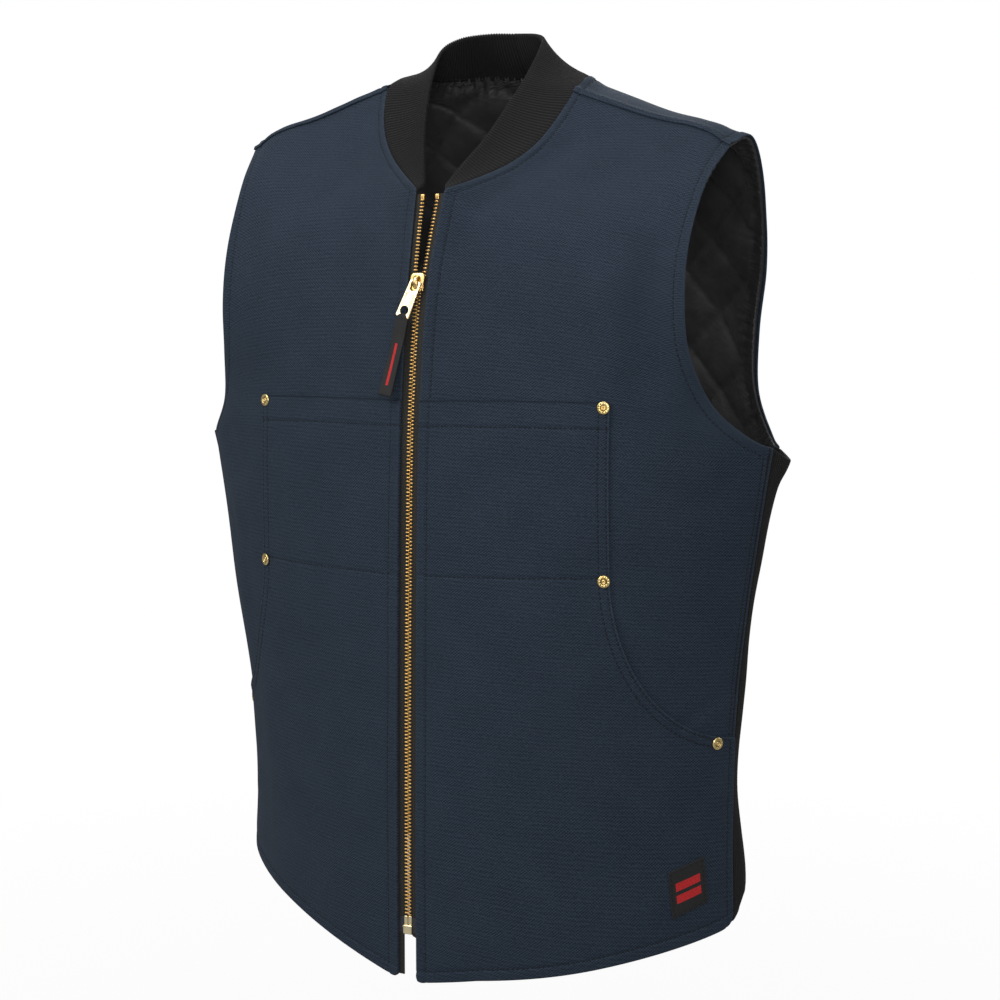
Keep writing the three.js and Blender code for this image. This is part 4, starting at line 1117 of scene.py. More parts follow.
def ribbonMesh():
    # a flat strap whose upper end is drawn through the tab's hole and wraps its foot
    c, p = ribbonCut, pullCut
    turn = math.radians(c["lean"] - c["tabLean"])
    x = pullAxes[0] * math.cos(turn) - pullAxes[2] * math.sin(turn)
    z = pullAxes[2] * math.cos(turn) + pullAxes[0] * math.sin(turn)
    origin = hinge + pullAxes[2] * (p["rim"] / 2 - p["length"] + p["holeRim"])
    down = np.concatenate([[0, 0.15, 0.4, 0.8], np.linspace(1.4, c["length"] - 1.6, 56),
                           c["length"] - np.array([0.8, 0.3, 0])])
    places = np.array([0.25, 0.5, 0.76, 0.82, 0.88, 0.94, 0.98, 1])
    s = np.concatenate([-places[::-1], [0], places])
    flare = ease(down / c["flare"])
    half = (c["neck"] + (c["width"] - c["neck"]) * flare) / 2
    pleat = 0.3 * (1 - ease((down - 4) / 9))[:, None] * np.cos(s * math.pi * 2.5)[None]
    curl = 0.4 * np.sin(down / 9 + 1)[:, None] * s[None]
    wave = ease((down - 6) / 12)[:, None] * (0.9 * np.sin(down / 17)[:, None] + curl)
    thick = c["thick"] / 2 + 0.55 * (1 - ease((down - 2.6) / 3))
    seamDip = 0.2 * bell(np.abs(s) - 0.82, 0.05)
    local = np.zeros((len(down), len(s), 3))
    local[..., 0] = half[:, None] * s[None]
    local[..., 2] = c["rise"] - down[:, None]
    front, back = local.copy(), local.copy()
    rim = (1 - np.abs(s) ** 14) ** 0.5
    cap = np.sqrt(np.clip(np.minimum(down, c["length"] - down), 0, 1))
    deep = thick[:, None] * (rim - seamDip)[None] * cap[:, None]
    front[..., 1] = wave + pleat * cap[:, None] - deep
    back[..., 1] = wave + pleat * cap[:, None] + deep
    axes = np.array([x, pullAxes[1], z])
    grain = np.stack([local[..., 0], -down[:, None] + 0 * s[None]], -1)
    grid = {"outside": front @ axes + np.array(origin), "inside": back @ axes + np.array(origin)}
    closeBorder(grid, borderMask(front.shape[:2]))
    return skinMesh("pull_ribbon_cloth", [(grid["outside"], grain, False), (grid["inside"], grain, True)])


# Cap rivets: notched brim, dark groove and a raised ring round a dimple
rivetCut = {"places": {"top": (155.3, -256.8), "mid": (155.6, -390.4), "low": (221, -523)}, "notches": 11,
            "sides": 88,
            "profile": ((0, 0.3), (0.45, 0.3), (0.75, 0.5), (0.95, 1.1), (1.2, 1.3), (1.55, 1.3),
                        (1.8, 1.1), (2.0, 0.55), (2.2, 0.45), (2.4, 0.55), (2.6, 1.0), (2.85, 1.15),
                        (3.2, 1.2), (3.6, 1.2), (4.0, 1.16), (4.4, 1.02), (4.75, 0.75), (5.0, 0.35),
                        (5.0, 0.1), (4.9, -0.1), (0, -0.1))}


def pocketRise(grid):
    return ((grid["outside"] - grid["points"]) * grid["normals"]).sum(-1).ravel()


def pocketSpot(side, x, z):
    # a place on the pocket's face, with its direction
    grid = pockets[side]
    miss = (grid["points"][..., 0] - x) ** 2 + (grid["points"][..., 2] - z) ** 2
    near = np.argsort(miss.ravel())[:5]
    weight = 1 / (miss.ravel()[near] + 0.2)
    weight /= weight.sum()
    rise = pocketRise(grid)[near] @ weight
    row, share = findOnFront(x, z)
    point, normal = onBase(bases["front"], np.array(row), np.array(share))
    return point, normal, rise


def rivetMesh(name, side, x, z):
    c = rivetCut
    point, normal, rise = pocketSpot(side, x, z)
    rise = max(rise, layers["gap"] + layers["pocket"])
    turns = np.linspace(0, 2 * math.pi, c["sides"] + 1)
    profile = np.array(c["profile"], float)
    r, h = profile[:, 0][:, None], profile[:, 1][:, None]
    notch = np.clip(np.cos(turns * c["notches"]), 0, 1)[None] ** 3
    notch = notch * np.exp(-((r - 3.6) / 0.55) ** 4) * (h > 0.3)
    local = np.stack([r * np.cos(turns)[None], r * np.sin(turns)[None], h - 0.3 * notch], -1)
    dark = np.maximum(bell(r - 2.2, 0.3), np.exp(-(r / 0.55) ** 4))
    dark = np.maximum(dark, 0.8 * notch) * (h > 0)
    across = unit(np.cross([0, 0, 1.0], normal))
    axes = np.stack([across, np.cross(normal, across), normal])
    placed = local @ axes + point + normal * (rise + 0.1)
    placed = placed if side == "left" else mirrored(placed)
    placed = placed + leaning(placed.mean((0, 1)))
    return skinMesh(name, [(placed, local[..., :2], False, dark)])


# Woven label, bare but for two plain bars
labelCut = {"x": 204.5, "z": -628.5, "wide": 31.5, "high": 35.5, "thick": 0.9, "turn": 6.5, "cells": 28}


def labelMesh():
    c = labelCut
    row0, share0 = findOnFront(c["x"], c["z"])
    wide, high = c["wide"] / 2, c["high"] / 2
    steps = np.array([0, 0.12, 0.35, 0.7])
    a, b = (np.concatenate([-half + steps, np.linspace(-half + 1.4, half - 1.4, c["cells"]),
                            half - steps[::-1]]) for half in (wide, high))
    u, v = np.meshgrid(a, b)
    turn = math.radians(c["turn"])
    length = rowLengths(bases["front"], np.array(row0))
    share = share0 + (u * math.cos(turn) - v * math.sin(turn)) / length
    row = row0 + (u * math.sin(turn) + v * math.cos(turn)) / 1.83
    points, normals, _ = frontSurface(row, share)
    grid = pockets["left"]
    flat, rises = grid["points"].reshape(-1, 3), pocketRise(grid)
    rise = np.zeros(u.shape)
    for i in range(len(a)):
        gap2 = ((points[i][:, None] - flat[None]) ** 2).sum(-1)
        near = np.argsort(gap2, 1)[:, :6]
        weight = 1 / (np.take_along_axis(gap2, near, 1) + 1)
        rise[i] = (rises[near] * weight).sum(1) / weight.sum(1)
    edge = np.minimum(wide - np.abs(u), high - np.abs(v))
    fall = edgeFall(edge, 0.7) * c["thick"] / 2
    dip = 0.28 * bell(edge - 2.0, 0.5)
    lift = rise + 0.15 + 0.25 * np.sin(u / 7) * np.cos(v / 9)
    outside = lifted(points, normals, lift + c["thick"] - fall - dip)
    inside = lifted(points, normals, lift + fall)
    made = {"outside": outside, "inside": inside, "grain": np.stack([u, v], -1), "normals": normals}
    closeBorder(made, borderMask(u.shape))
    for axis, fromEnd in ((0, False), (0, True), (1, False), (1, True)):
        addStitch(contour(made, edge, 2.0, axis=axis, fromEnd=fromEnd, keep=edge > 1.0))
    return skinMesh("label_cloth", sideSkins(made, "left"))


print("hard parts ready")

# Geometry Nodes: one small shape repeated along paths that carry their own upward direction
def repeatTree():
    tree = bpy.data.node_groups.new("repeatAlongPath", "GeometryNodeTree")
    add = tree.interface.new_socket
    add("Geometry", in_out="INPUT", socket_type="NodeSocketGeometry")
    kinds = {"shape": "Object", "pitch": "Float", "sway": "Float", "material": "Material", "seed": "Int"}
    sockets = {name: add(name.title(), in_out="INPUT", socket_type="NodeSocket" + kind)
               for name, kind in kinds.items()}
    add("Geometry", in_out="OUTPUT", socket_type="NodeSocketGeometry")
    make = tree.nodes.new
    source, sink = make("NodeGroupInput"), make("NodeGroupOutput")
    toCurve, resample = make("GeometryNodeMeshToCurve"), make("GeometryNodeResampleCurve")
    resample.mode = "LENGTH"
    shape = make("GeometryNodeObjectInfo")
    shape.inputs["As Instance"].default_value = True
    tangent, upward = make("GeometryNodeInputTangent"), make("GeometryNodeInputNamedAttribute")
    upward.data_type = "FLOAT_VECTOR"
    upward.inputs["Name"].default_value = "up"
    along, stand = make("FunctionNodeAlignRotationToVector"), make("FunctionNodeAlignRotationToVector")
    along.axis, stand.axis, stand.pivot_axis = "X", "Z", "X"
    sway = make("FunctionNodeRandomValue")
    lower, twist = make("ShaderNodeMath"), make("ShaderNodeCombineXYZ")
    lean = make("FunctionNodeRotateRotation")
    lower.operation = "MULTIPLY"
    lower.inputs[1].default_value = -1
    lean.rotation_space = "LOCAL"
    spread, real = make("GeometryNodeInstanceOnPoints"), make("GeometryNodeRealizeInstances")
    finish = make("GeometryNodeSetMaterial")
    wires = [
        (source, "Geometry", toCurve, "Mesh"), (toCurve, "Curve", resample, "Curve"),
        (source, "Pitch", resample, "Length"), (resample, "Curve", spread, "Points"),
        (source, "Shape", shape, "Object"), (shape, "Geometry", spread, "Instance"),
        (tangent, "Tangent", along, "Vector"), (along, "Rotation", stand, "Rotation"),
        (upward, "Attribute", stand, "Vector"), (source, "Sway", sway, "Max"),
        (source, "Sway", lower, 0), (lower, 0, sway, "Min"), (source, "Seed", sway, "Seed"),
        (sway, "Value", twist, "Z"), (stand, "Rotation", lean, "Rotation"),
        (twist, "Vector", lean, "Rotate By"), (lean, "Rotation", spread, "Rotation"),
        (spread, "Instances", real, "Geometry"), (real, "Geometry", finish, "Geometry"),
        (source, "Material", finish, "Material"), (finish, "Geometry", sink, "Geometry"),
    ]
    for start, output, end, entry in wires:
        tree.links.new(start.outputs[output], end.inputs[entry])
    return tree, {name: socket.identifier for name, socket in sockets.items()}


repeatAlong, repeatInputs = repeatTree()


def repeatedMesh(name, paths, shapeMesh, pitch, material, sway=0.0, seed=1):
    verts, edges, ups = [], [], []
    for points, normals in paths:
        start = len(verts)
        verts += (points * mm).tolist()
        ups += normals.tolist()
        edges += [(start + k, start + k + 1) for k in range(len(points) - 1)]
    pathMesh = bpy.data.meshes.new("path")
    pathMesh.from_pydata(verts, edges, [])
    pathMesh.attributes.new("up", "FLOAT_VECTOR", "POINT").data.foreach_set("vector", np.ravel(ups))
    holder = bpy.data.objects.new("path", pathMesh)
    shape = bpy.data.objects.new("shape", shapeMesh)
    for thing in (holder, shape):
        bpy.context.scene.collection.objects.link(thing)
    modifier = holder.modifiers.new("repeat", "NODES")
    modifier.node_group = repeatAlong
    values = {"shape": shape, "pitch": pitch * mm, "sway": sway, "material": material, "seed": seed}
    for key, value in values.items():
        modifier[repeatInputs[key]] = value
    mesh = bpy.data.meshes.new_from_object(holder.evaluated_get(bpy.context.evaluated_depsgraph_get()))
    mesh.name = name
    holder.modifiers.remove(modifier)
    for thing in (holder, shape):
        bpy.data.objects.remove(thing)
    mesh.shade_smooth()
    return mesh


stitchCut = {"pitch": 4.0, "length": 3.0, "wide": 0.52, "high": 0.36, "sides": 5, "sway": 0.06}
toothCut = {"tall": 1.12, "root": 1.15, "nose": 0.85}


def stitchShape():
    # one lockstitch: a short bar with drawn-in ends
    c = stitchCut
    turns = np.linspace(0, 2 * math.pi, c["sides"] + 1)
    x = np.array([-0.5, -0.36, 0.36, 0.5]) * c["length"]
    size = np.array([0.35, 1, 1, 0.35])
    sink = np.array([-0.22, 0.02, 0.02, -0.22])
    rings = np.stack([x[:, None] + 0 * turns, size[:, None] * c["wide"] * np.cos(turns),
                      size[:, None] * c["high"] * np.sin(turns) + sink[:, None]], -1)
    caps = [np.repeat(rings[k].mean(0)[None, None], len(turns), 1) for k in (0, -1)]
    rings = np.concatenate([caps[0], rings, caps[1]])
    return skinMesh("stitch", [(rings, rings[..., :2], False)])


def toothShape(side):
    # one tooth, wide at the tape and narrow at its rounded nose
    c, z = toothCut, zipCut
    reach = z["toothWide"]
    turns = np.linspace(0, 2 * math.pi, 9)
    square = lambda t: np.sign(t) * np.abs(t) ** 0.45
    y = np.array([0, 0.0, 0.25, 0.95, 1.2, 2.2, reach - 0.35, reach, reach])
    tall = np.array([0, 0.55, 0.9, 1.0, c["nose"], c["root"], 1.15, 0.8, 0]) * c["tall"] / 2
    thick = np.array([0, 0.5, 0.72, 0.8, 0.9, 1.0, 1.0, 0.75, 0]) * z["toothThick"] / 2
    sign = -1 if side == "left" else 1
    rings = np.stack([tall[:, None] * square(np.cos(turns)), sign * y[:, None] + 0 * turns,
                      thick[:, None] * square(np.sin(turns))], -1)
    return skinMesh("tooth", [(rings, rings[..., :2], False)])


def toothPath(side):
    c = zipCut
    half = c["toothPitch"] / 2
    # both paths are as long, half a pitch apart, so the rows stay interlocked
    low, high = (0.7, -half) if side == "left" else (0.7 + half, 0)
    z = np.linspace(c["footZ"] + low, c["headZ"] + high, 300)
    points = np.stack([chainHalf(z) - 0.75 * ease((-162 - z) / 6), chainY(z), z], -1)
    normals = np.tile([0, -1.0, 0], (len(z), 1))
    return (points if side == "left" else mirrored(points)), normals


# Materials
def material(name):
    made = bpy.data.materials.new(name)
    made.use_nodes = True
    tree = made.node_tree
    return made, tree, tree.nodes["Principled BSDF"]


def give(socket, value):
    # links a socket to another, or sets its plain value
    if hasattr(value, "is_linked"):
        socket.id_data.links.new(value, socket)
    else:
        socket.default_value = value


def node(tree, kind, inputs=None, **settings):
    made = tree.nodes.new(kind)
    for key, value in settings.items():
        setattr(made, key, value)
    for key, value in (inputs or {}).items():
        give(made.inputs[key], value)
    return made


def maths(tree, operation, a, b=0.0, clamp=False):
    return node(tree, "ShaderNodeMath", {0: a, 1: b}, operation=operation, use_clamp=clamp).outputs[0]


def added(tree, a, b, share):
    return maths(tree, "ADD", a, maths(tree, "MULTIPLY", b, share))


def waves(tree, place, length):
    return maths(tree, "SINE", maths(tree, "MULTIPLY", place, 2 * math.pi / length))


def paintedLightAndDarkHollowsOf(tree):
    return node(tree, "ShaderNodeAttribute", attribute_name="paintedLightAndDarkHollows").outputs["Fac"]


def stretched(tree, source, scale):
    return node(tree, "ShaderNodeVectorMath", {0: source, 1: scale}, operation="MULTIPLY").outputs[0]


def noise(tree, vector, scale, detail=2.0, rough=0.5):
    inputs = {"Vector": vector, "Scale": scale, "Detail": detail, "Roughness": rough}
    return node(tree, "ShaderNodeTexNoise", inputs).outputs["Fac"]


def shades(tree, factor, dark, light, low=0.3, high=0.7):
    ramp = node(tree, "ShaderNodeValToRGB", {"Fac": factor})
    ramp.color_ramp.elements[0].position, ramp.color_ramp.elements[1].position = low, high
    ramp.color_ramp.elements[0].color = (*dark, 1)
    ramp.color_ramp.elements[1].color = (*light, 1)
    return ramp.outputs["Color"]


def mixed(tree, factor, a, b):
    made = node(tree, "ShaderNodeMix", data_type="RGBA")
    for k, value in ((0, factor), (6, a), (7, b)):
        give(made.inputs[k], (*value, 1) if isinstance(value, tuple) else value)
    return made.outputs[2]


def bumped(tree, shader, height, strength, distance):
    made = node(tree, "ShaderNodeBump", {"Height": height, "Strength": strength, "Distance": distance})
    tree.links.new(made.outputs["Normal"], shader.inputs["Normal"])


def grainOfCloth(tree):
    return node(tree, "ShaderNodeUVMap", uv_map="grain").outputs["UV"]


def axesOf(tree, grain):
    return node(tree, "ShaderNodeSeparateXYZ", {0: grain}).outputs[:2]


def weave(tree, grain, warp, weft):
    # crossing threads: +1 where a warp thread is on top, -1 where a weft thread is
    u, v = axesOf(tree, grain)
    across, up = waves(tree, u, 2 * warp), waves(tree, v, 2 * weft)
    return maths(tree, "MULTIPLY", across, up)


def setShader(shader, **values):
    for name, value in values.items():
        give(shader.inputs[name.replace("_", " ")], value)


duckLook = {"dark": (0.0106, 0.0168, 0.0268), "light": (0.0286, 0.0412, 0.0608), "rib": 0.0033,
            "warp": 0.00130, "weft": 0.00115, "slant": 0.0020, "roughness": 0.88}


def duckMaterial():
    look = duckLook
    made, tree, shader = material("duck canvas")
    grain = grainOfCloth(tree)
    drift = noise(tree, stretched(tree, grain, (55, 80, 1)), 1.0, 3.0)
    u, v = axesOf(tree, grain)
    level = added(tree, added(tree, v, u, 0.05), drift, 0.0030)
    ribs = waves(tree, level, look["rib"])
    threads = weave(tree, grain, look["warp"], look["weft"])
    slant = waves(tree, added(tree, v, u, -0.7), look["slant"])
    weftSlub = noise(tree, stretched(tree, grain, (330, 1000, 1)), 1.0, 2.0, 0.6)
    warpSlub = noise(tree, stretched(tree, grain, (1000, 420, 1)), 1.0, 2.0, 0.6)
    patchy = noise(tree, stretched(tree, grain, (55, 240, 1)), 1.0, 3.0)
    patchy = maths(tree, "MULTIPLY", maths(tree, "SUBTRACT", patchy, 0.25), 2.0, clamp=True)
    fade = noise(tree, grain, 26.0, 4.0, 0.55)
    tone = added(tree, maths(tree, "MULTIPLY", weftSlub, 0.7), warpSlub, 0.5)
    tone = added(tree, tone, ribs, maths(tree, "MULTIPLY", patchy, 0.16))
    tone = added(tree, tone, threads, 0.30)
    tone = added(tree, tone, slant, 0.12)
    tone = added(tree, tone, maths(tree, "SUBTRACT", fade, 0.5), 0.25)
    colour = shades(tree, tone, look["dark"], look["light"], 0.38, 0.82)
    paintedLightAndDarkHollows = paintedLightAndDarkHollowsOf(tree)
    # painted highlight: lighter blue on the folded edges, in patches
    paintedHighlight = maths(tree, "MULTIPLY", paintedLightAndDarkHollows, maths(tree, "MULTIPLY", weftSlub, 0.8), clamp=True)
    colour = mixed(tree, paintedHighlight, colour, (0.046, 0.060, 0.080))
    # painted shade: near black where the value is negative, as a shadow line along the pocket's top edge
    colour = mixed(tree, maths(tree, "MULTIPLY", paintedLightAndDarkHollows, -0.85, clamp=True), colour, (0.0035, 0.0050, 0.0080))
    setShader(shader, Base_Color=colour, Roughness=look["roughness"], Specular_IOR_Level=0.12,
              Sheen_Weight=0.03, Sheen_Roughness=0.5, Sheen_Tint=(0.7, 0.82, 1.0, 1))
    height = added(tree, maths(tree, "MULTIPLY", threads, 0.2), tone, 1.2)
    bumped(tree, shader, height, 0.45, 0.00030)
    return made


def knitMaterial():
    made, tree, shader = material("rib knit")
    grain = grainOfCloth(tree)
    v = axesOf(tree, grain)[1]
    fuzz = noise(tree, stretched(tree, grain, (1400, 900, 1)), 1.0, 3.0, 0.6)
    tone = added(tree, fuzz, waves(tree, v, 0.0016), 0.09)
    colour = shades(tree, tone, (0.0070, 0.0070, 0.0072), (0.0190, 0.0189, 0.0190))
    setShader(shader, Base_Color=colour, Roughness=0.92, Specular_IOR_Level=0.12, Sheen_Weight=0.05,
              Sheen_Roughness=0.5)
    bumped(tree, shader, tone, 0.5, 0.00025)
    return made


def quiltMaterial():
    made, tree, shader = material("quilted lining")
    grain = grainOfCloth(tree)
    v = axesOf(tree, grain)[1]
    band = paintedLightAndDarkHollowsOf(tree)
    # painted shade: darker in the band near the lining's edges
    tone = added(tree, noise(tree, grain, 40.0, 3.0), band, -0.5)
    colour = shades(tree, tone, (0.0150, 0.0150, 0.0162), (0.0330, 0.0330, 0.0350))
    crumple = noise(tree, stretched(tree, grain, (60, 85, 1)), 1.0, 2.0, 0.5)
    crumple = maths(tree, "MULTIPLY", maths(tree, "ABSOLUTE", maths(tree, "SUBTRACT", crumple, 0.5)), 2.2)
    ticks = waves(tree, v, 0.0036)
    height = added(tree, crumple, ticks, maths(tree, "MULTIPLY", band, 0.35))
    height = added(tree, height, weave(tree, grain, 0.0003, 0.0003), 0.06)
    setShader(shader, Base_Color=colour, Roughness=0.50, Specular_IOR_Level=0.45, Sheen_Weight=0.06)
    bumped(tree, shader, height, 0.5, 0.0008)
    return made


tapeFilm = {"top": -0.6675, "foot": -0.6800, "shade": (0.036, 0.038, 0.048), "gloss": 0.45}


def tapeMaterial():
    made, tree, shader = material("zip tape")
    grain = grainOfCloth(tree)
    u, v = axesOf(tree, grain)
    zigzag = maths(tree, "PINGPONG", u, 0.0012)
    slant = waves(tree, maths(tree, "ADD", v, zigzag), 0.0011)
    fuzz = noise(tree, stretched(tree, grain, (900, 900, 1)), 1.0, 2.0)
    tone = added(tree, fuzz, slant, 0.16)
    woven = shades(tree, tone, (0.012, 0.0118, 0.0108), (0.036, 0.035, 0.031))
    # a clear film stiffens the tapes beside the box
    film = maths(tree, "MULTIPLY", maths(tree, "LESS_THAN", v, tapeFilm["top"]),
                 maths(tree, "GREATER_THAN", v, tapeFilm["foot"]))
    rough = maths(tree, "SUBTRACT", 0.85, maths(tree, "MULTIPLY", film, tapeFilm["gloss"]))
    setShader(shader, Base_Color=mixed(tree, film, woven, tapeFilm["shade"]), Roughness=rough,
              Specular_IOR_Level=0.2)
    bumped(tree, shader, tone, 0.5, 0.0002)
    return made


def brassMaterial(name, dark, light, roughness):
    made, tree, shader = material(name)
    place = node(tree, "ShaderNodeTexCoord").outputs["Object"]
    scuffs = noise(tree, stretched(tree, place, (900, 900, 2600)), 1.0, 4.0, 0.65)
    colour = shades(tree, noise(tree, place, 260.0, 3.0), dark, light)
    colour = mixed(tree, paintedLightAndDarkHollowsOf(tree), colour, (0.085, 0.055, 0.022))
    rough = maths(tree, "ADD", maths(tree, "MULTIPLY", scuffs, 0.16), roughness - 0.08)
    setShader(shader, Base_Color=colour, Roughness=rough, Metallic=1.0)
    bumped(tree, shader, scuffs, 0.04, 0.0002)
    return made


def wovenMaterial(name, bars):
    # satin-woven black with plain red bars given as (half width, low, high) of the grain, in metres
    made, tree, shader = material(name)
    grain = grainOfCloth(tree)
    u, v = axesOf(tree, grain)
    threads = weave(tree, grain, 0.00032, 0.00045)
    fuzz = noise(tree, stretched(tree, grain, (700, 1500, 1)), 1.0, 2.0)
    tone = added(tree, fuzz, threads, 0.12)
    colour = shades(tree, tone, (0.0085, 0.0085, 0.009), (0.019, 0.019, 0.020))
    red = shades(tree, tone, (0.30, 0.008, 0.010), (0.55, 0.022, 0.024))
    for half, low, high in bars:
        within = maths(tree, "LESS_THAN", maths(tree, "ABSOLUTE", u), half)
        middle = maths(tree, "ABSOLUTE", maths(tree, "SUBTRACT", v, (low + high) / 2))
        within = maths(tree, "MULTIPLY", within, maths(tree, "LESS_THAN", middle, (high - low) / 2))
        colour = mixed(tree, within, colour, red)
    setShader(shader, Base_Color=colour, Roughness=0.72, Specular_IOR_Level=0.3)
    bumped(tree, shader, tone, 0.5, 0.00018)
    return made


def threadMaterial():
    made, tree, shader = material("sewing thread")
    place = node(tree, "ShaderNodeTexCoord").outputs["Object"]
    twist = noise(tree, place, 2600.0, 2.0)
    colour = shades(tree, twist, (0.0040, 0.0055, 0.0085), (0.0085, 0.0112, 0.0160))
    setShader(shader, Base_Color=colour, Roughness=0.7, Specular_IOR_Level=0.3)
    bumped(tree, shader, twist, 0.3, 0.0001)
    return made


print("materials and node trees ready")

# Assembly
duck, knit, quilt = duckMaterial(), knitMaterial(), quiltMaterial()
tapeCloth, thread = tapeMaterial(), threadMaterial()
toothBrass = brassMaterial("tooth brass", (0.72, 0.42, 0.12), (0.88, 0.60, 0.24), 0.30)
paleBrass = brassMaterial("pale brass", (0.84, 0.70, 0.40), (0.93, 0.82, 0.55), 0.24)
sliderBrass = brassMaterial("slider brass", (0.68, 0.47, 0.17), (0.82, 0.62, 0.28), 0.27)
rivetBrass = brassMaterial("rivet brass", (0.70, 0.50, 0.18), (0.88, 0.70, 0.34), 0.28)
labelWoven = wovenMaterial("label weave", ((0.0105, 0.0010, 0.0072), (0.0105, -0.0082, -0.0020)))
ribbonWoven = wovenMaterial("ribbon weave", ((0.0011, -0.058, -0.024),))


def addCloth(name, skins, cloth, replaced):
    return addPiece(name, skinMesh(name, skins), cloth, [replaced])


def addMetal(name, parts, brass, replaced):
    return addPiece(name, meshOf(name, parts), brass, [replaced])


for side in ("left", "right"):
    front = addCloth("front_cloth_" + side, sideSkins(panels[side], side), duck,
                     "front_panel_" + side)
    pocket = addCloth("pocket_cloth_" + side, sideSkins(pockets[side], side), duck,
                      "pocket_" + side)
    insert = addCloth("knit_side_" + side, sideSkins(knitGrid, side), knit, "side_knit_" + side)
    wadding = addCloth("quilt_front_" + side, sideSkins(liningGrids["front"], side), quilt,
                       "lining_front_" + side)
    tape = addCloth("zip_tape_cloth_" + side, zipSkins(tapeSkins(side), side), tapeCloth,
                    "zip_tape_" + side)
    name = "zip_chain_" + side
    chain = repeatedMesh(name, [toothPath(side)], toothShape(side), zipCut["toothPitch"], toothBrass)
    addPiece(name, chain, toothBrass, ["zip_teeth_" + side])
    for level, (x, z) in rivetCut["places"].items():
        name = "rivet_" + level + "_cap_" + side
        addPiece(name, rivetMesh(name, side, x, z), rivetBrass, ["rivet_" + level + "_" + side])
halves = lambda grid: sideSkins(grid, "left") + sideSkins(grid, "right")
back = addCloth("back_cloth", halves(backGrid), duck, "back_panel")
waddingBack = addCloth("quilt_back", halves(liningGrids["back"]), quilt, "lining_back")
collarPoints, collarGrain = collarSkin()
band = addCloth("collar_knit", [(collarPoints, collarGrain, False)], knit, "collar")
label = addPiece("label_cloth", labelMesh(), labelWoven, ["label_patch"])
print("cloth pieces made")

c = zipCut
stopZ = c["headZ"] + 0.3 + c["stop"][2] / 2
pinZ = c["footZ"] - 0.3 - c["pin"][2] / 2
pinX = c["pin"][0] / 2 + 0.15
boxZ = c["footZ"] - 0.6 - c["pin"][2] - c["box"][2] / 2
for side, sign in (("left", 1), ("right", -1)):
    at = (sign * (chainHalf(stopZ) + c["stop"][0] / 2), chainY(stopZ), stopZ)
    addMetal("zip_stop_" + side, [roundedBlock(c["stop"], at, 0.9, 4)], toothBrass, "zip_top_stop_" + side)
pin = roundedBlock(c["pin"], (pinX, chainY(pinZ), pinZ), 0.7, 3)
addMetal("zip_pin_bar", [pin], paleBrass, "zip_pin")
longPin = (c["pin"][0], c["pin"][1], c["pin"][2] + 2)
boxes = [roundedBlock(c["box"], (0, chainY(boxZ), boxZ), 0.8, 4),
         roundedBlock(longPin, (-pinX, chainY(pinZ), pinZ - 1), 0.7, 3),
         roundedBlock((c["box"][0] + 0.5, c["box"][1] + 0.4, 1.5), (0, chainY(boxZ), boxZ + 2.6), 0.5, 3)]
addMetal("zip_box_body", boxes, paleBrass, "zip_box")
addPiece("zip_slider_body", sliderMesh(), sliderBrass, ["zip_slider"])
addPiece("pull_tab_plate", tabMesh(), paleBrass, ["pull_tab"], body="zip_pull")
strap = addPiece("pull_ribbon_cloth", ribbonMesh(), ribbonWoven, ["pull_ribbon"], body="zip_pull")
stitches = repeatedMesh("topstitching", stitchPaths, stitchShape(), stitchCut["pitch"], thread,
                        stitchCut["sway"], 7)
addPiece("topstitching", stitches, thread)

# Stage: pale floor, soft light, the photo's camera
stage = {"floorZ": -0.86, "floorSize": 14.0, "ambient": 0.33, "cameraAt": (0.8507, -1.5676, -0.1825),
         "lens": 76.14, "cameraTurn": (84.88, 0, 28.24)}
lights = {"key": ((-0.75, -1.35, 1.25), 1.3, 22.5, -0.36), "side": ((1.5, -1.5, 0.9), 1.2, 7, -0.2),
          "top": ((0.1, 0.1, 1.7), 1.4, 13, -0.36), "card": ((-1.15, -1.85, 0.55), 0.9, 5, -0.2),
          "fill": ((0.9, -1.7, 0.05), 0.8, 11, 0.4), "back": ((-1.2, 1.8, 1.0), 1.4, 30, -0.36),
          "rear": ((1.5, 1.5, 0.8), 1.3, 9, -0.36)}


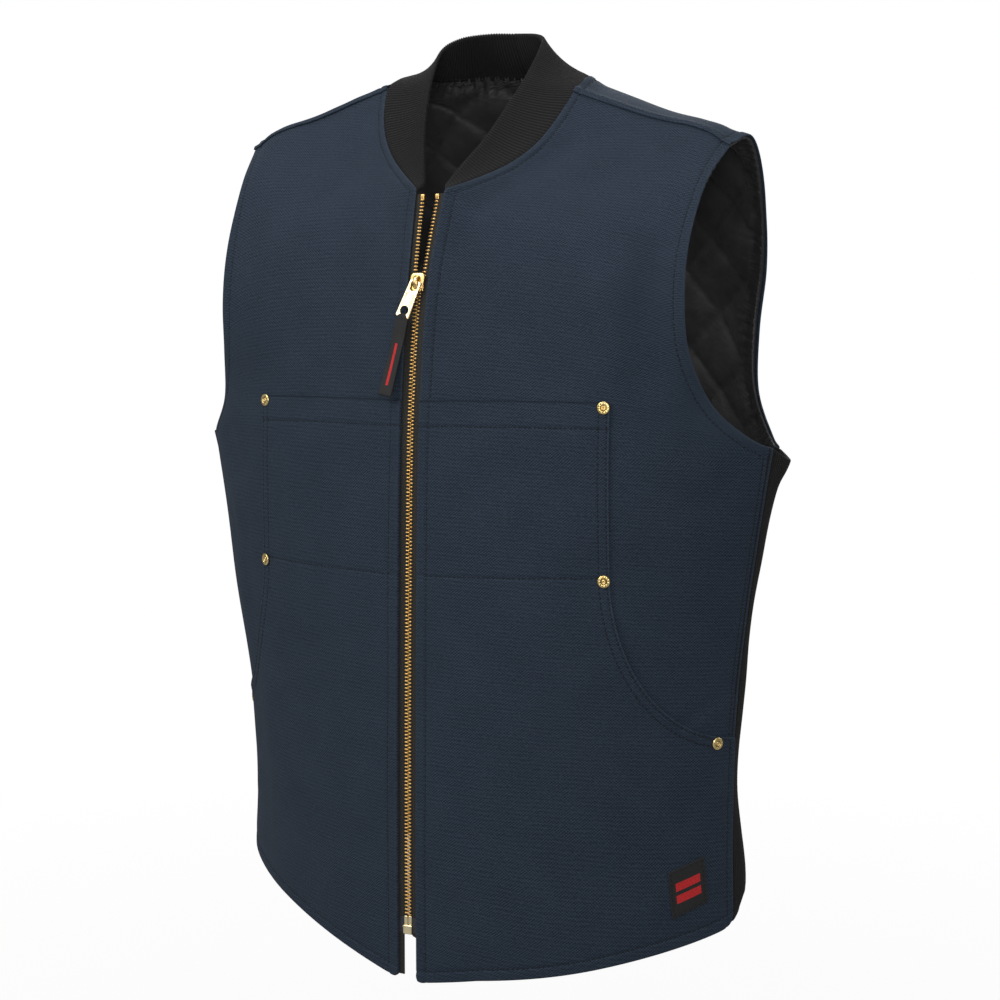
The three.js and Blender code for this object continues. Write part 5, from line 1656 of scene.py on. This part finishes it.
def floorMaterial():
    made, tree, shader = material("pale floor")
    place = node(tree, "ShaderNodeTexCoord").outputs["Object"]
    away = node(tree, "ShaderNodeVectorMath", {0: place}, operation="LENGTH").outputs["Value"]
    far = maths(tree, "MULTIPLY", maths(tree, "SUBTRACT", away, 0.3), 0.8, clamp=True)
    glow = node(tree, "ShaderNodeEmission", {"Color": (1, 1, 1, 1), "Strength": 1.0})
    seen = node(tree, "ShaderNodeLightPath").outputs["Is Camera Ray"]
    share = maths(tree, "MULTIPLY", seen, maths(tree, "ADD", maths(tree, "MULTIPLY", far, 0.10), 0.90))
    blend = node(tree, "ShaderNodeMixShader", {0: share, 1: shader.outputs[0], 2: glow.outputs[0]})
    setShader(shader, Base_Color=(0.36, 0.36, 0.36, 1), Roughness=0.9, Specular_IOR_Level=0.1)
    tree.links.new(blend.outputs[0], tree.nodes["Material Output"].inputs["Surface"])
    return made


bpy.ops.mesh.primitive_circle_add(vertices=96, radius=stage["floorSize"], fill_type="NGON")
floor = bpy.context.object
floor.name = "floor"
floor.data.transform(Matrix.Translation((0, 0, stage["floorZ"])))
floor.data.materials.append(floorMaterial())
world = bpy.data.worlds.new("studio")
bpy.context.scene.world = world
world.use_nodes = True
sky = world.node_tree
background = sky.nodes["Background"]
seen = node(sky, "ShaderNodeLightPath").outputs["Is Camera Ray"]
strength = maths(sky, "ADD", maths(sky, "MULTIPLY", seen, 1 - stage["ambient"]), stage["ambient"])
sky.links.new(strength, background.inputs["Strength"])
background.inputs["Color"].default_value = (1, 1, 1, 1)
for name, (at, size, power, aimZ) in lights.items():
    lamp = bpy.data.lights.new(name, "AREA")
    lamp.shape, lamp.size, lamp.energy = "DISK", size, power
    holder = bpy.data.objects.new(name, lamp)
    holder.location = at
    holder.rotation_euler = (Vector((0, 0, aimZ)) - Vector(at)).to_track_quat("-Z", "Y").to_euler()
    bpy.context.scene.collection.objects.link(holder)
camera = bpy.data.objects.new("camera", bpy.data.cameras.new("camera"))
camera.location = stage["cameraAt"]
camera.rotation_euler = [math.radians(turn) for turn in stage["cameraTurn"]]
camera.data.lens = stage["lens"]
bpy.context.scene.collection.objects.link(camera)
bpy.context.scene.camera = camera
bpy.context.scene.view_settings.view_transform = "Standard"
print("stage set")
